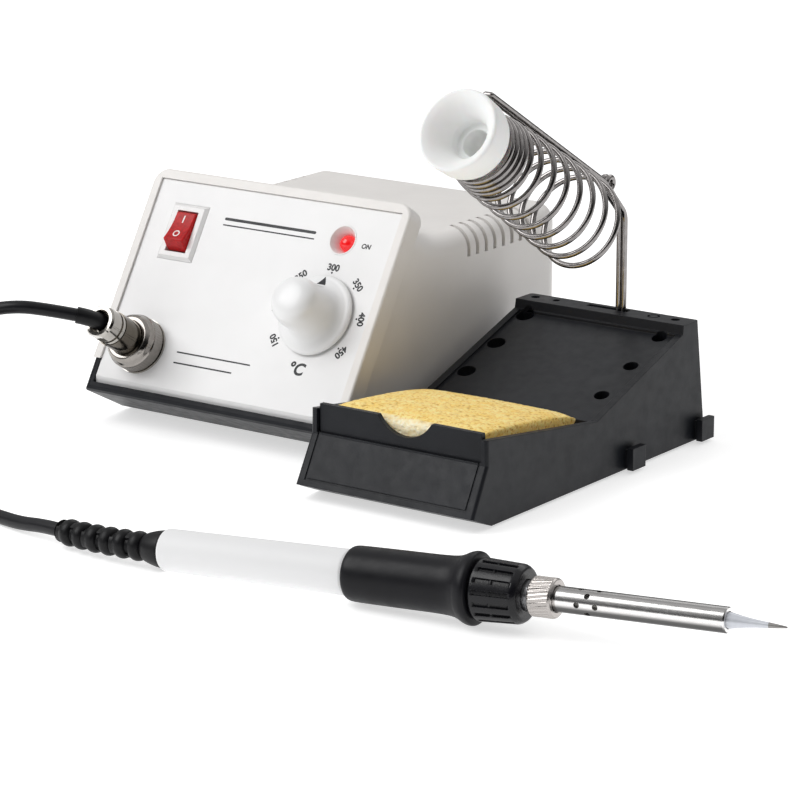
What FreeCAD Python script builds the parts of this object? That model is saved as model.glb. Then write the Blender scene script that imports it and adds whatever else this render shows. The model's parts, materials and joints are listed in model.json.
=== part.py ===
import FreeCAD, Part
import math
import os

# Soldering iron station: a mains housing, a tool stand with a sponge and a
# spring holder, and a soldering iron on a cord. Millimetres, +X to the right
# seen from the front, +Y to the back, +Z up, floor at z = 0.
# Sizes are measured from the housing: x = 0 is its centre plane, and y = 0 is
# the lower edge of its leaning front panel. save() moves every piece, so that
# the origin is the centre of the whole set's footprint.

V = FreeCAD.Vector
FRAME_X = 117.73
FRAME_Y = 12.553

# Housing
HOUSING_W = 118.0
BODY_W = 113.7
BODY_BACK = 141.6
BODY_TOP = 73.8
PARTING_Z = 16.0
EAR_Z = 24.0               # the lower shell rises to this beside the panel
EAR_BACK = 13.0
WALL = 2.2
LEAN = 31.5              # the panel leans back this many degrees
PANEL_Z = 18.0           # height of the panel's lower edge
PANEL_W = 110.4
PANEL_H = 79.0
PLATE_T = 1.6
BEZEL_TOP = 83.0         # along the panel's slope
BEZEL_DEPTH = 7.0
FLARE_R = 26.4
BODY_EDGE_R = 8.0
FOOT_H = 1.5
FLOOR_T = 2.5
VENTS = 8
VENT_PITCH = 5.63
VENT_W = 2.0
BOSS_X = 50.4
BOSS_Y = (32.0, 128.0)
SCREW_R = 1.45

# Controls, placed as (x, distance up the slope) on the panel
KNOB_AT = (33.0, 36.7)
KNOB_R = 15.3
KNOB_H = 16.8
ROCKER_AT = (-37.8, 59.4)
LED_AT = (33.2, 66.1)
SOCKET_AT = (-39.2, 13.9)
ROCKER_TILT = 14.0

# Stand
STAND_X0 = 65.3
STAND_X1 = 139.7
STAND_DRAFT = 0.02
STAND_FRONT = -28.0
STAND_TOE = -36.9
TOE_Z = 5.6
FACE_Z = 22.0            # the sloping front face meets the upright rim here
TRAY_BACK = 39.9
SLOPE_LOW = 22.4
SLOPE_HIGH = 42.0
SLOPE_END = 96.8
LEDGE_FRONT = 97.4
LEDGE_BACK = 107.8
LEDGE_Z = 45.3
STAND_BACK = 112.7
STAND_WALL = 3.0
RIM_Z = 1.0
HOLE_ROWS = (56.0, 75.1, 94.2)

# Spring holder, in the plane x = HOLDER_X
HOLDER_X = 107.7
HOLDER_FACE = (-1.2, 128.5)
HOLDER_DIP = 30.0        # its axis falls this many degrees towards the back
FUNNEL_R = 15.1
WIRE_R = 1.05
POST_Y = 104.4
POST_TOP = 81.5
BAR_FRONT = (11.8, 0.0, 17.2)     # in the holder's own axes
BAR_REAR = (95.0, 0.0, 17.2)

# Iron: its axis starts at the rear end of the handle
IRON_AT = (77.6, -124.9, 6.93)
IRON_HEADING = 6.87
IRON_RISE = 2.33
GRIP_END = 116.6
TUBE_END = 199.8
TIP_END = 218.6
BOOT_LENGTH = 42.5
BOOT_BEND_R = 150.0
BOOT_RIBS = 6

# Cord
CORD_D = 4.8
COIL_AT = (-84.0, -82.0)
COIL_R = 26.4
COIL_WIDE = 3
COIL_HIGH = 2

PANEL = FreeCAD.Placement(V(0, 0, PANEL_Z), FreeCAD.Rotation(V(1, 0, 0), 90 - LEAN))
IRON = FreeCAD.Placement(V(*IRON_AT), FreeCAD.Rotation(IRON_HEADING, -IRON_RISE, 0))
HOLDER = FreeCAD.Placement(V(HOLDER_X, *HOLDER_FACE), FreeCAD.Rotation(90, HOLDER_DIP, 0))


# ---------------------------------------------------------------- helpers

def box(x0, x1, y0, y1, z0, z1):
    return Part.makeBox(x1 - x0, y1 - y0, z1 - z0, V(x0, y0, z0))


def rod(start, end, radius):
    start = V(*start)
    along = V(*end) - start
    return Part.makeCylinder(radius, along.Length, start, along)


def prism_x(points, x0, x1):
    """A side profile, as (y, z) points, drawn out from x0 to x1."""
    wire = Part.makePolygon([V(x0, y, z) for y, z in points + points[:1]])
    return Part.Face(wire).extrude(V(x1 - x0, 0, 0))


def turned(profile):
    """(length, radius) points turned about local X. A profile off the axis is hollow."""
    wire = Part.makePolygon([V(s, r, 0) for s, r in profile + profile[:1]])
    return Part.Face(wire).revolve(V(0, 0, 0), V(1, 0, 0), 360)


def placed(shape, placement):
    moved = shape.copy()
    moved.Placement = placement.multiply(moved.Placement)
    return moved


def on_panel(shape):
    return placed(shape, PANEL)


def panel_point(x, s, out):
    return PANEL.multVec(V(x, s, out))


def rounded_plate(x, s, width, height, radius, out0, out1):
    """A plate with rounded corners, in the panel's own axes."""
    plate = box(x - width / 2, x + width / 2, s - height / 2, s + height / 2, out0, out1)
    corners = [e for e in plate.Edges if abs(e.Vertexes[0].Z - e.Vertexes[-1].Z) > 1e-6]
    return plate.makeFillet(radius, corners)


def fused(shapes):
    solid = shapes[0]
    for other in shapes[1:]:
        solid = solid.fuse(other)
    return solid.removeSplitter()


def cut(shape, tools):
    for tool in tools:
        shape = shape.cut(tool)
    return shape


def save(name, shape):
    moved = shape.copy()
    moved.translate(V(-FRAME_X, -FRAME_Y, 0))
    moved.exportStep("parts/" + name + ".step")
    closed = all(s.isValid() for s in moved.Solids)
    if not closed or not moved.Solids:
        print("CHECK", name, len(moved.Solids), closed)


# ---------------------------------------------------------------- housing

def body_form(inset):
    """The housing behind its bezel, shrunk by inset on every outer face."""
    lean = math.radians(LEAN)
    top = BODY_TOP - inset
    radius = FLARE_R + inset
    flare_y = 66.0
    start_y = 45.8
    # height of the flare's arc above the top, where it meets the bezel
    rise = radius - math.sqrt(radius ** 2 - (flare_y - start_y) ** 2)
    mid_y = flare_y - radius * math.sin(math.radians(22))
    mid_z = top + radius * (1 - math.cos(math.radians(22)))
    front_y = start_y - (top + rise - PARTING_Z + 6) * math.tan(lean)
    back = BODY_BACK - inset
    low = PARTING_Z - 6
    side = BODY_W / 2 - inset
    a = V(-side, start_y, top + rise)
    b = V(-side, flare_y, top)
    edges = [
        Part.LineSegment(V(-side, front_y, low), a).toShape(),
        Part.Arc(a, V(-side, mid_y, mid_z), b).toShape(),
        Part.LineSegment(b, V(-side, back, top)).toShape(),
        Part.LineSegment(V(-side, back, top), V(-side, back, low)).toShape(),
        Part.LineSegment(V(-side, back, low), V(-side, front_y, low)).toShape(),
    ]
    form = Part.Face(Part.Wire(edges)).extrude(V(2 * side, 0, 0))
    rounded = []
    for edge in form.Edges:
        ends = edge.BoundBox
        along_top = ends.YMin > start_y - 1 and ends.ZMin > top - 1 and ends.XLength < 1
        up_back = ends.YMin > back - 1 and ends.XLength < 1 and ends.ZLength > 10
        across_back = ends.YMin > back - 1 and ends.ZMin > top - 1
        if along_top or up_back or across_back:
            rounded.append(edge)
    return form.makeFillet(BODY_EDGE_R - inset, rounded)


def boss_places():
    return [(x, y) for x in (-BOSS_X, BOSS_X) for y in BOSS_Y]


def upper_housing():
    middle = BEZEL_TOP / 2 - 1
    bezel = rounded_plate(0, middle, HOUSING_W, BEZEL_TOP + 2, 6.0, -BEZEL_DEPTH, 0.9)
    rim = [e for e in bezel.Edges if e.BoundBox.ZLength < 1e-6 and e.BoundBox.ZMin > 0]
    bezel = bezel.makeFillet(0.9, rim)
    shell = fused([body_form(0), on_panel(bezel)])
    seat = box(-PANEL_W / 2 - 0.15, PANEL_W / 2 + 0.15, -6, PANEL_H + 0.15, -PLATE_T, 3)
    passage = box(-52, 52, -8, PANEL_H - 4.5, -BEZEL_DEPTH - 6, 1)
    shell = cut(shell, [body_form(WALL), on_panel(seat), on_panel(passage)])
    for x, y in boss_places():
        shell = shell.fuse(rod((x, y, PARTING_Z - 1), (x, y, PARTING_Z + 22), 4.4))
        shell = shell.cut(rod((x, y, PARTING_Z - 2), (x, y, PARTING_Z + 16), SCREW_R))
    shell = cut(shell, [box(-80, 80, -40, 160, -5, PARTING_Z), box(-80, 80, -40, EAR_BACK, -5, EAR_Z)])
    for i in range(VENTS):
        y = 80.2 + i * VENT_PITCH
        for side in (-1, 1):
            inner = side * 48.6
            outer = side * 62.0
            x0, x1 = min(inner, outer), max(inner, outer)
            shell = shell.cut(box(x0, x1, y - VENT_W / 2, y + VENT_W / 2, 63.0, 82.0))
    shell = shell.cut(rod((-30, 130, 42), (-30, 150, 42), 6.0))
    shell = shell.cut(rod((34, 130, 42), (34, 150, 42), 6.3))
    return shell.removeSplitter()


def lower_shell():
    wall = 2.5
    half = HOUSING_W / 2
    lip_y, lip_z = -1.15, 12.4
    toe_y = 19.2
    lean_y = (EAR_Z - PANEL_Z) * math.tan(math.radians(LEAN))
    back = BODY_BACK + 1.0
    outline = [(toe_y, FOOT_H), (-1.0, 12.0), (-2.1, 13.2), (-2.4, 14.4), (lean_y - 0.35, EAR_Z),
               (EAR_BACK, EAR_Z), (EAR_BACK, PARTING_Z), (back, PARTING_Z), (back, FOOT_H)]
    shell = prism_x(outline, -half, half)
    corners = [e for e in shell.Edges
               if e.BoundBox.XLength < 1 and e.BoundBox.YMin > back - 1 and e.BoundBox.ZLength > 9]
    corners += [e for e in shell.Edges
                if e.BoundBox.XLength < 1 and e.BoundBox.YMax < lean_y and e.BoundBox.ZMin > 14]
    shell = shell.makeFillet(2.5, corners)
    inner = [(toe_y + 2.2, FOOT_H + FLOOR_T), (lip_y + wall + 1.2, lip_z + 1.2),
             (lip_y + wall + 1.2, 13.9), (5.5, 13.9), (5.5, EAR_Z + 1),
             (back - wall, EAR_Z + 1), (back - wall, FOOT_H + FLOOR_T)]
    shell = shell.cut(prism_x(inner, -half + wall, half - wall))
    seat = box(-PANEL_W / 2 - 0.15, PANEL_W / 2 + 0.15, 0, 20, -PLATE_T - 0.1, 8)
    passage = box(-52, 52, 0, 20, -14, 1)
    below = box(-PANEL_W / 2 - 0.15, PANEL_W / 2 + 0.15, -2.5, 0.1, -3.1, 8)
    shell = cut(shell, [on_panel(seat), on_panel(passage), on_panel(below)])
    for x, y in boss_places():
        shell = shell.fuse(rod((x, y, FOOT_H + 1), (x, y, PARTING_Z), 4.4))
        shell = shell.cut(rod((x, y, 0), (x, y, PARTING_Z + 1), SCREW_R + 0.3))
        shell = shell.cut(rod((x, y, 0), (x, y, 9), 3.3))
    for x, y in foot_places():
        shell = shell.cut(rod((x, y, 0), (x, y, FOOT_H + 1.0), 6.2))
    for x, y in transformer_feet():
        shell = shell.fuse(rod((x, y, FOOT_H + 1), (x, y, 5.6), 4.0))
        shell = shell.cut(rod((x, y, 3.0), (x, y, 7), 1.5))
    for x, y in board_posts():
        shell = shell.fuse(rod((x, y, FOOT_H + 1), (x, y, 7.0), 3.5))
        shell = shell.cut(rod((x, y, 3.0), (x, y, 8), 1.25))
    for side in (-1, 1):
        for y in (57.2, 104.0):
            slot = box(half - 1.6, half + 2, y, y + 9.6, FOOT_H + 2.0, 9.0)
            if side < 0:
                slot = slot.mirror(V(0, 0, 0), V(1, 0, 0))
            shell = shell.cut(slot)
    return shell.removeSplitter()


def foot_places():
    return [(x, y) for x in (-46, 46) for y in (46, 116)]


def rubber_feet():
    return Part.makeCompound([rod((x, y, 0), (x, y, FOOT_H + 0.95), 6.0) for x, y in foot_places()])


def housing_screws():
    screws = []
    for x, y in boss_places():
        shank = rod((x, y, 8.9), (x, y, PARTING_Z + 14), SCREW_R - 0.05)
        head = rod((x, y, 6.6), (x, y, 8.9), 2.9)
        slot = box(x - 1.8, x + 1.8, y - 0.4, y + 0.4, 6.0, 7.6)
        cross = box(x - 0.4, x + 0.4, y - 1.8, y + 1.8, 6.0, 7.6)
        screws.append(cut(fused([shank, head]), [slot, cross]))
    return Part.makeCompound(screws)


# ---------------------------------------------------------------- panel and controls

def front_panel():
    plate = box(-PANEL_W / 2, PANEL_W / 2, 0, PANEL_H, -PLATE_T, 0)
    # its lower edge turns down, and stands on the lower shell's lip
    rail = [(0.3, 0), (0, 0), (-2.4, -1.3), (-2.4, -2.9), (0.3, -PLATE_T)]
    outline = Part.makePolygon([V(-PANEL_W / 2, s, out) for s, out in rail + rail[:1]])
    plate = plate.fuse(Part.Face(outline).extrude(V(PANEL_W, 0, 0)))
    x, s = ROCKER_AT
    plate = plate.cut(box(x - 8.3, x + 8.3, s - 11.1, s + 11.1, -3, 1))
    x, s = LED_AT
    plate = plate.cut(Part.makeCylinder(5.85, 5, V(x, s, -3)))
    x, s = KNOB_AT
    plate = plate.cut(Part.makeCylinder(3.6, 5, V(x, s, -3)))
    x, s = SOCKET_AT
    plate = plate.cut(Part.makeCylinder(8.1, 5, V(x, s, -3)))
    return on_panel(plate)


def rectangle(x, s, width, height, out):
    """A closed outline on the panel, at a height above it."""
    corners = [V(x + i * width / 2, s + j * height / 2, out) for i, j in ((-1, -1), (1, -1), (1, 1), (-1, 1))]
    return Part.makePolygon(corners + corners[:1])


def rocker_switch_body():
    x, s = ROCKER_AT
    frame = box(x - 8.2, x + 8.2, s - 11.0, s + 11.0, -4.6, 0.1)
    raised = [rectangle(x, s, 16.4, 22.0, 0.1), rectangle(x, s, 14.0, 19.6, 1.2)]
    frame = frame.fuse(Part.makeLoft(raised, True, True))
    rear = box(x - 6.3, x + 6.3, s - 9.6, s + 9.6, -18, -4.6)
    pocket = box(x - 4.85, x + 4.85, s - 8.1, s + 8.1, -9.5, 3.0)
    switch = frame.fuse(rear).cut(pocket)
    for offset in (-6.5, 0, 6.5):
        tab = box(x - 2.4, x + 2.4, s + offset - 0.4, s + offset + 0.4, -25, -17.5)
        switch = switch.fuse(tab)
    return on_panel(switch.removeSplitter())


def rocker_paddle():
    x, s = ROCKER_AT
    outline = [(-7.6, -2.2), (-6.1, 3.7), (0, 3.2), (6.1, 3.7), (7.6, -2.2), (2.2, -6.0), (-2.2, -6.0)]
    wire = Part.makePolygon([V(x - 4.5, s + a, b) for a, b in outline + outline[:1]])
    paddle = Part.Face(wire).extrude(V(9.0, 0, 0))
    paddle.rotate(V(x, s, -2.0), V(1, 0, 0), -ROCKER_TILT)
    return on_panel(paddle)


def indicator_bezel():
    x, s = LED_AT
    cone = [(0.1, 5.3), (0.1, 5.8), (-6.0, 5.8), (-6.0, 2.9), (-4.8, 2.9)]
    ring = turned(cone)
    ring.rotate(V(0, 0, 0), V(0, 1, 0), -90)
    ring.translate(V(x, s, 0))
    return on_panel(ring)


def indicator_led():
    x, s = LED_AT
    barrel = Part.makeCylinder(2.7, 4.2, V(x, s, -8.0))
    dome = Part.makeSphere(2.7, V(x, s, -3.8))
    rim = Part.makeCylinder(3.1, 1.0, V(x, s, -8.0))
    legs = [Part.makeCylinder(0.3, 9, V(x + dx, s, -16.8)) for dx in (-1.27, 1.27)]
    return on_panel(fused([barrel, dome, rim] + legs))


def potentiometer_body():
    x, s = KNOB_AT
    can = Part.makeCylinder(8.2, 8.0, V(x, s, -11.2))
    bush = Part.makeCylinder(3.5, 6.4, V(x, s, -3.2))
    face = Part.makeCylinder(8.2, 1.4, V(x, s, -3.2))
    tags = [box(x + dx - 0.6, x + dx + 0.6, s - 13.5, s - 5.6, -9.6, -9.0) for dx in (-5, 0, 5)]
    solid = fused([can, bush, face] + tags)
    return on_panel(solid.cut(Part.makeCylinder(3.05, 14, V(x, s, -9.9))))


def potentiometer_nut():
    x, s = KNOB_AT
    hexagon = [V(x + 5.6 * math.cos(math.radians(60 * i)), s + 5.6 * math.sin(math.radians(60 * i)), 0.05)
               for i in range(7)]
    nut = Part.Face(Part.makePolygon(hexagon)).extrude(V(0, 0, 1.9))
    return on_panel(nut.cut(Part.makeCylinder(3.55, 5, V(x, s, -1))))


def potentiometer_shaft():
    x, s = KNOB_AT
    shaft = Part.makeCylinder(3.0, 23.0, V(x, s, -9.6))
    flat = box(x - 4, x + 4, s + 1.6, s + 4, 4.4, 14)
    return on_panel(shaft.cut(flat))


def temperature_knob():
    x, s = KNOB_AT
    top = KNOB_H
    profile = [(0.7, 6.6), (0.7, KNOB_R), (2.2, KNOB_R), (3.4, 14.4), (4.4, 12.8), (6.2, 11.3), (10.0, 10.3),
               (top - 1.9, 9.5), (top - 0.5, 8.7), (top, 7.0), (top, 0), (13.6, 0), (13.6, 3.05), (3.6, 3.05),
               (3.6, 6.6)]
    knob = turned(profile)
    knob.rotate(V(0, 0, 0), V(0, 1, 0), -90)
    knob.translate(V(x, s, 0))
    return on_panel(knob)


def on_socket(profile):
    """A turned piece on the plug's axis. Lengths are measured out of the panel."""
    piece = turned(profile)
    piece.rotate(V(0, 0, 0), V(0, 1, 0), -90)
    piece.translate(V(SOCKET_AT[0], SOCKET_AT[1], 0))
    return on_panel(piece)


def panel_socket():
    profile = [(-12, 0), (-12, 7.0), (-4.2, 7.0), (-4.2, 9.6), (-1.7, 9.6), (-1.7, 7.95), (5.2, 7.95),
               (5.2, 7.0), (-2.0, 7.0), (-2.0, 0)]
    socket = on_socket(profile)
    for i in range(5):
        angle = math.radians(45 * i)
        x = SOCKET_AT[0] + 4.2 * math.cos(angle)
        s = SOCKET_AT[1] - 4.2 * math.sin(angle)
        socket = socket.fuse(on_panel(Part.makeCylinder(0.9, 6.0, V(x, s, -3.0))))
        socket = socket.fuse(on_panel(Part.makeCylinder(0.6, 4.0, V(x, s, -15.5))))
    return socket.removeSplitter()


def socket_washer():
    return on_socket([(0.05, 8.05), (0.05, 10.6), (0.8, 10.6), (0.8, 8.05)])


def plug_coupling_ring():
    return on_socket([(1.0, 8.05), (1.0, 10.0), (1.4, 10.4), (6.0, 10.4), (6.4, 10.0), (8.6, 9.4), (9.8, 8.2),
                      (9.8, 6.65), (8.0, 6.65), (8.0, 7.4), (5.6, 7.4), (5.6, 8.05)])


def plug_shell():
    return on_socket([(3.4, 0), (3.4, 6.9), (7.6, 6.9), (7.6, 6.55), (19.2, 6.55), (19.2, 3.2), (12.0, 3.2),
                      (12.0, 0)])


def plug_cable_clamp():
    clamp = on_socket([(19.3, 3.2), (19.3, 6.3), (20.9, 6.3), (20.9, 5.4), (22.0, 5.4), (22.0, 6.3),
                       (26.7, 6.3), (27.5, 5.6), (27.5, 4.4), (23.2, 4.0), (23.2, 3.2)])
    x, s = SOCKET_AT
    for low, high in ((-8.6, -5.6), (5.6, 8.6)):
        clamp = clamp.cut(on_panel(box(x - 8, x + 8, s + low, s + high, 22.2, 29)))
    return clamp


# The sleeve over the cord leaves the clamp and bends towards the side.
SLEEVE_R = 3.05
SLEEVE_BEND = 15.0
SLEEVE_START = 23.0
SLEEVE_WAY = V(-0.744, -0.635, 0.21)


def sleeve_path():
    """The start, middle and end of the sleeve's arc, and the way its end points."""
    start = panel_point(SOCKET_AT[0], SOCKET_AT[1], SLEEVE_START)
    out = (panel_point(0, 0, 1) - panel_point(0, 0, 0)).normalize()
    way = V(SLEEVE_WAY).normalize()
    turn = out.getAngle(way)
    across = (way - out * out.dot(way)).normalize()

    def bent(angle):
        return start + (out * math.sin(angle) + across * (1 - math.cos(angle))) * SLEEVE_BEND

    return start, bent(turn / 2), bent(turn), way


def swept(edges, radius):
    """A round bar along a path of lines and arcs."""
    path = Part.Wire(edges)
    first = edges[0]
    start = first.valueAt(first.FirstParameter)
    along = first.tangentAt(first.FirstParameter)
    ring = Part.Wire([Part.Circle(start, along, radius).toShape()])
    return path.makePipeShell([ring], True, False)


def plug_sleeve():
    return swept([Part.Arc(*sleeve_path()[:3]).toShape()], SLEEVE_R)


# ---------------------------------------------------------------- inside the housing

CORE_X = -16.5
CORE_Y = 98.0
CORE_Z = 6.4


def transformer_feet():
    return [(CORE_X - 34, CORE_Y), (CORE_X + 34, CORE_Y)]


def transformer_core():
    core = box(CORE_X - 28.5, CORE_X + 28.5, CORE_Y - 14, CORE_Y + 14, CORE_Z, CORE_Z + 47.5)
    for middle in (CORE_X - 14.25, CORE_X + 14.25):
        window = box(middle - 4.75, middle + 4.75, CORE_Y - 15, CORE_Y + 15, CORE_Z + 9.5, CORE_Z + 38)
        core = core.cut(window)
    return core


def transformer_winding():
    coil = box(CORE_X - 18.6, CORE_X + 18.6, CORE_Y - 22, CORE_Y + 22, CORE_Z + 9.9, CORE_Z + 37.6)
    upright = [e for e in coil.Edges if e.BoundBox.ZLength > 20]
    coil = coil.makeFillet(5, upright)
    return coil.cut(box(CORE_X - 9.8, CORE_X + 9.8, CORE_Y - 14.3, CORE_Y + 14.3, 0, 80))


def transformer_bracket():
    outer = box(CORE_X - 29.8, CORE_X + 29.8, CORE_Y - 8, CORE_Y + 8, 5.7, CORE_Z + 48.8)
    inner = box(CORE_X - 28.7, CORE_X + 28.7, CORE_Y - 9, CORE_Y + 9, 5, CORE_Z + 47.7)
    strap = outer.cut(inner)
    for x, y in transformer_feet():
        out = 8.5 if x > CORE_X else -8.5
        edge = CORE_X + math.copysign(28.8, x - CORE_X)
        x0, x1 = min(edge, edge + out), max(edge, edge + out)
        strap = strap.fuse(box(x0, x1, y - 8, y + 8, 5.7, 6.7))
        strap = strap.cut(rod((x, y, 5), (x, y, 8), 1.6))
    return strap.removeSplitter()


def transformer_screws():
    screws = []
    for x, y in transformer_feet():
        screws.append(fused([rod((x, y, 3.1), (x, y, 6.8), 1.4), rod((x, y, 6.75), (x, y, 8.6), 2.6)]))
    return Part.makeCompound(screws)


BOARD = (-12.0, 44.0, 30.0, 68.0)
BOARD_Z = 11.0


def board_posts():
    x0, x1, y0, y1 = BOARD
    return [(x, y) for x in (x0 + 4, x1 - 4) for y in (y0 + 4, y1 - 4)]


def board_spacers():
    rings = []
    for x, y in board_posts():
        rings.append(rod((x, y, 7.05), (x, y, BOARD_Z - 0.05), 3.0).cut(rod((x, y, 6), (x, y, 12), 1.6)))
    return Part.makeCompound(rings)


def board_screws():
    screws = []
    for x, y in board_posts():
        screws.append(fused([rod((x, y, 3.2), (x, y, BOARD_Z + 1.7), 1.15),
                             rod((x, y, BOARD_Z + 1.65), (x, y, BOARD_Z + 3.2), 2.4)]))
    return Part.makeCompound(screws)


def circuit_board():
    x0, x1, y0, y1 = BOARD
    board = box(x0, x1, y0, y1, BOARD_Z, BOARD_Z + 1.6)
    for x, y in board_posts():
        board = board.cut(rod((x, y, 5), (x, y, 20), 1.6))
    return board


def board_components():
    z = BOARD_Z + 1.65
    x0 = BOARD[0]
    y0 = BOARD[2]
    pieces = [rod((x0 + 16, y0 + 25, z), (x0 + 16, y0 + 25, z + 16), 5.0),
              rod((x0 + 28, y0 + 27, z), (x0 + 28, y0 + 27, z + 11), 3.2),
              box(x0 + 36, x0 + 47, y0 + 16, y0 + 31, z, z + 13),
              box(x0 + 20, x0 + 29, y0 + 8, y0 + 14.5, z, z + 3.4),
              box(x0 + 34, x0 + 44.2, y0 + 6, y0 + 10.4, z + 0.4, z + 15)]
    fin = box(x0 + 32, x0 + 47, y0 + 11, y0 + 12.6, z, z + 20)
    for i in range(5):
        fin = fin.fuse(box(x0 + 32.5 + 3.2 * i, x0 + 33.7 + 3.2 * i, y0 + 12.5, y0 + 15.4, z, z + 20))
    return Part.makeCompound(pieces + [fin.removeSplitter()])


FUSE_AT = (34.0, 42.0)


def fuse_holder():
    x, z = FUSE_AT
    back = BODY_BACK
    tube = rod((x, back - 32, z), (x, back + 0.1, z), 6.1)
    flange = rod((x, back + 0.1, z), (x, back + 2.2, z), 8.2)
    holder = tube.fuse(flange).cut(rod((x, back - 27, z), (x, back + 4, z), 4.4))
    return holder.fuse(box(x - 2, x + 2, back - 39, back - 31.8, z - 0.4, z + 0.4)).removeSplitter()


def fuse_holder_nut():
    x, z = FUSE_AT
    y = BODY_BACK - WALL - 3.3
    ring = [V(x + 9.2 * math.cos(math.radians(60 * i)), y, z + 9.2 * math.sin(math.radians(60 * i)))
            for i in range(7)]
    nut = Part.Face(Part.makePolygon(ring)).extrude(V(0, 3.2, 0))
    return nut.cut(rod((x, y - 1, z), (x, y + 5, z), 6.15))


def fuse_cap():
    x, z = FUSE_AT
    back = BODY_BACK
    cap = fused([rod((x, back - 7, z), (x, back + 2.4, z), 4.3),
                 rod((x, back + 2.35, z), (x, back + 8.5, z), 6.6)])
    cap = cap.cut(box(x - 5, x + 5, back + 7.1, back + 10, z - 0.7, z + 0.7))
    return cap.cut(rod((x, back - 8, z), (x, back - 2, z), 2.7))


def fuse():
    x, z = FUSE_AT
    return rod((x, BODY_BACK - 23, z), (x, BODY_BACK - 3.2, z), 2.6)


def mains_gland():
    x, z = -30.0, 42.0
    back = BODY_BACK
    gland = fused([rod((x, back - 6, z), (x, back + 0.1, z), 5.9),
                   rod((x, back + 0.1, z), (x, back + 3.0, z), 8.5),
                   Part.makeCone(6.6, 5.2, 12, V(x, back + 2.9, z), V(0, 1, 0))])
    lock = rod((x, back - 6, z), (x, back - WALL - 0.2, z), 7.6)
    return cut(gland.fuse(lock), [rod((x, back - 8, z), (x, back + 20, z), 3.4)]).removeSplitter()


# ---------------------------------------------------------------- stand

def stand_outline():
    front = [(-25.8, RIM_Z), (STAND_TOE, TOE_Z), (STAND_FRONT, FACE_Z), (STAND_FRONT, 31.0)]
    top = [(TRAY_BACK, SLOPE_LOW), (SLOPE_END, SLOPE_HIGH), (LEDGE_FRONT, LEDGE_Z), (LEDGE_BACK, LEDGE_Z)]
    return front + top + [(STAND_BACK, RIM_Z)]


def slope_z(y):
    return SLOPE_LOW + (y - TRAY_BACK) * (SLOPE_HIGH - SLOPE_LOW) / (SLOPE_END - TRAY_BACK)


def tip_socket(x, y, radius, depth):
    """A cylinder square to the slope, from above it to depth below it."""
    tilt = math.atan2(SLOPE_HIGH - SLOPE_LOW, SLOPE_END - TRAY_BACK)
    way = V(0, math.sin(tilt), -math.cos(tilt))
    top = V(x, y, slope_z(y)) - way * 4
    return Part.makeCylinder(radius, depth + 4, top, way)


def stand_holes():
    return [(72.4, y, 3.5) for y in HOLE_ROWS] + [(130.4, y, 2.8) for y in HOLE_ROWS]


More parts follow.
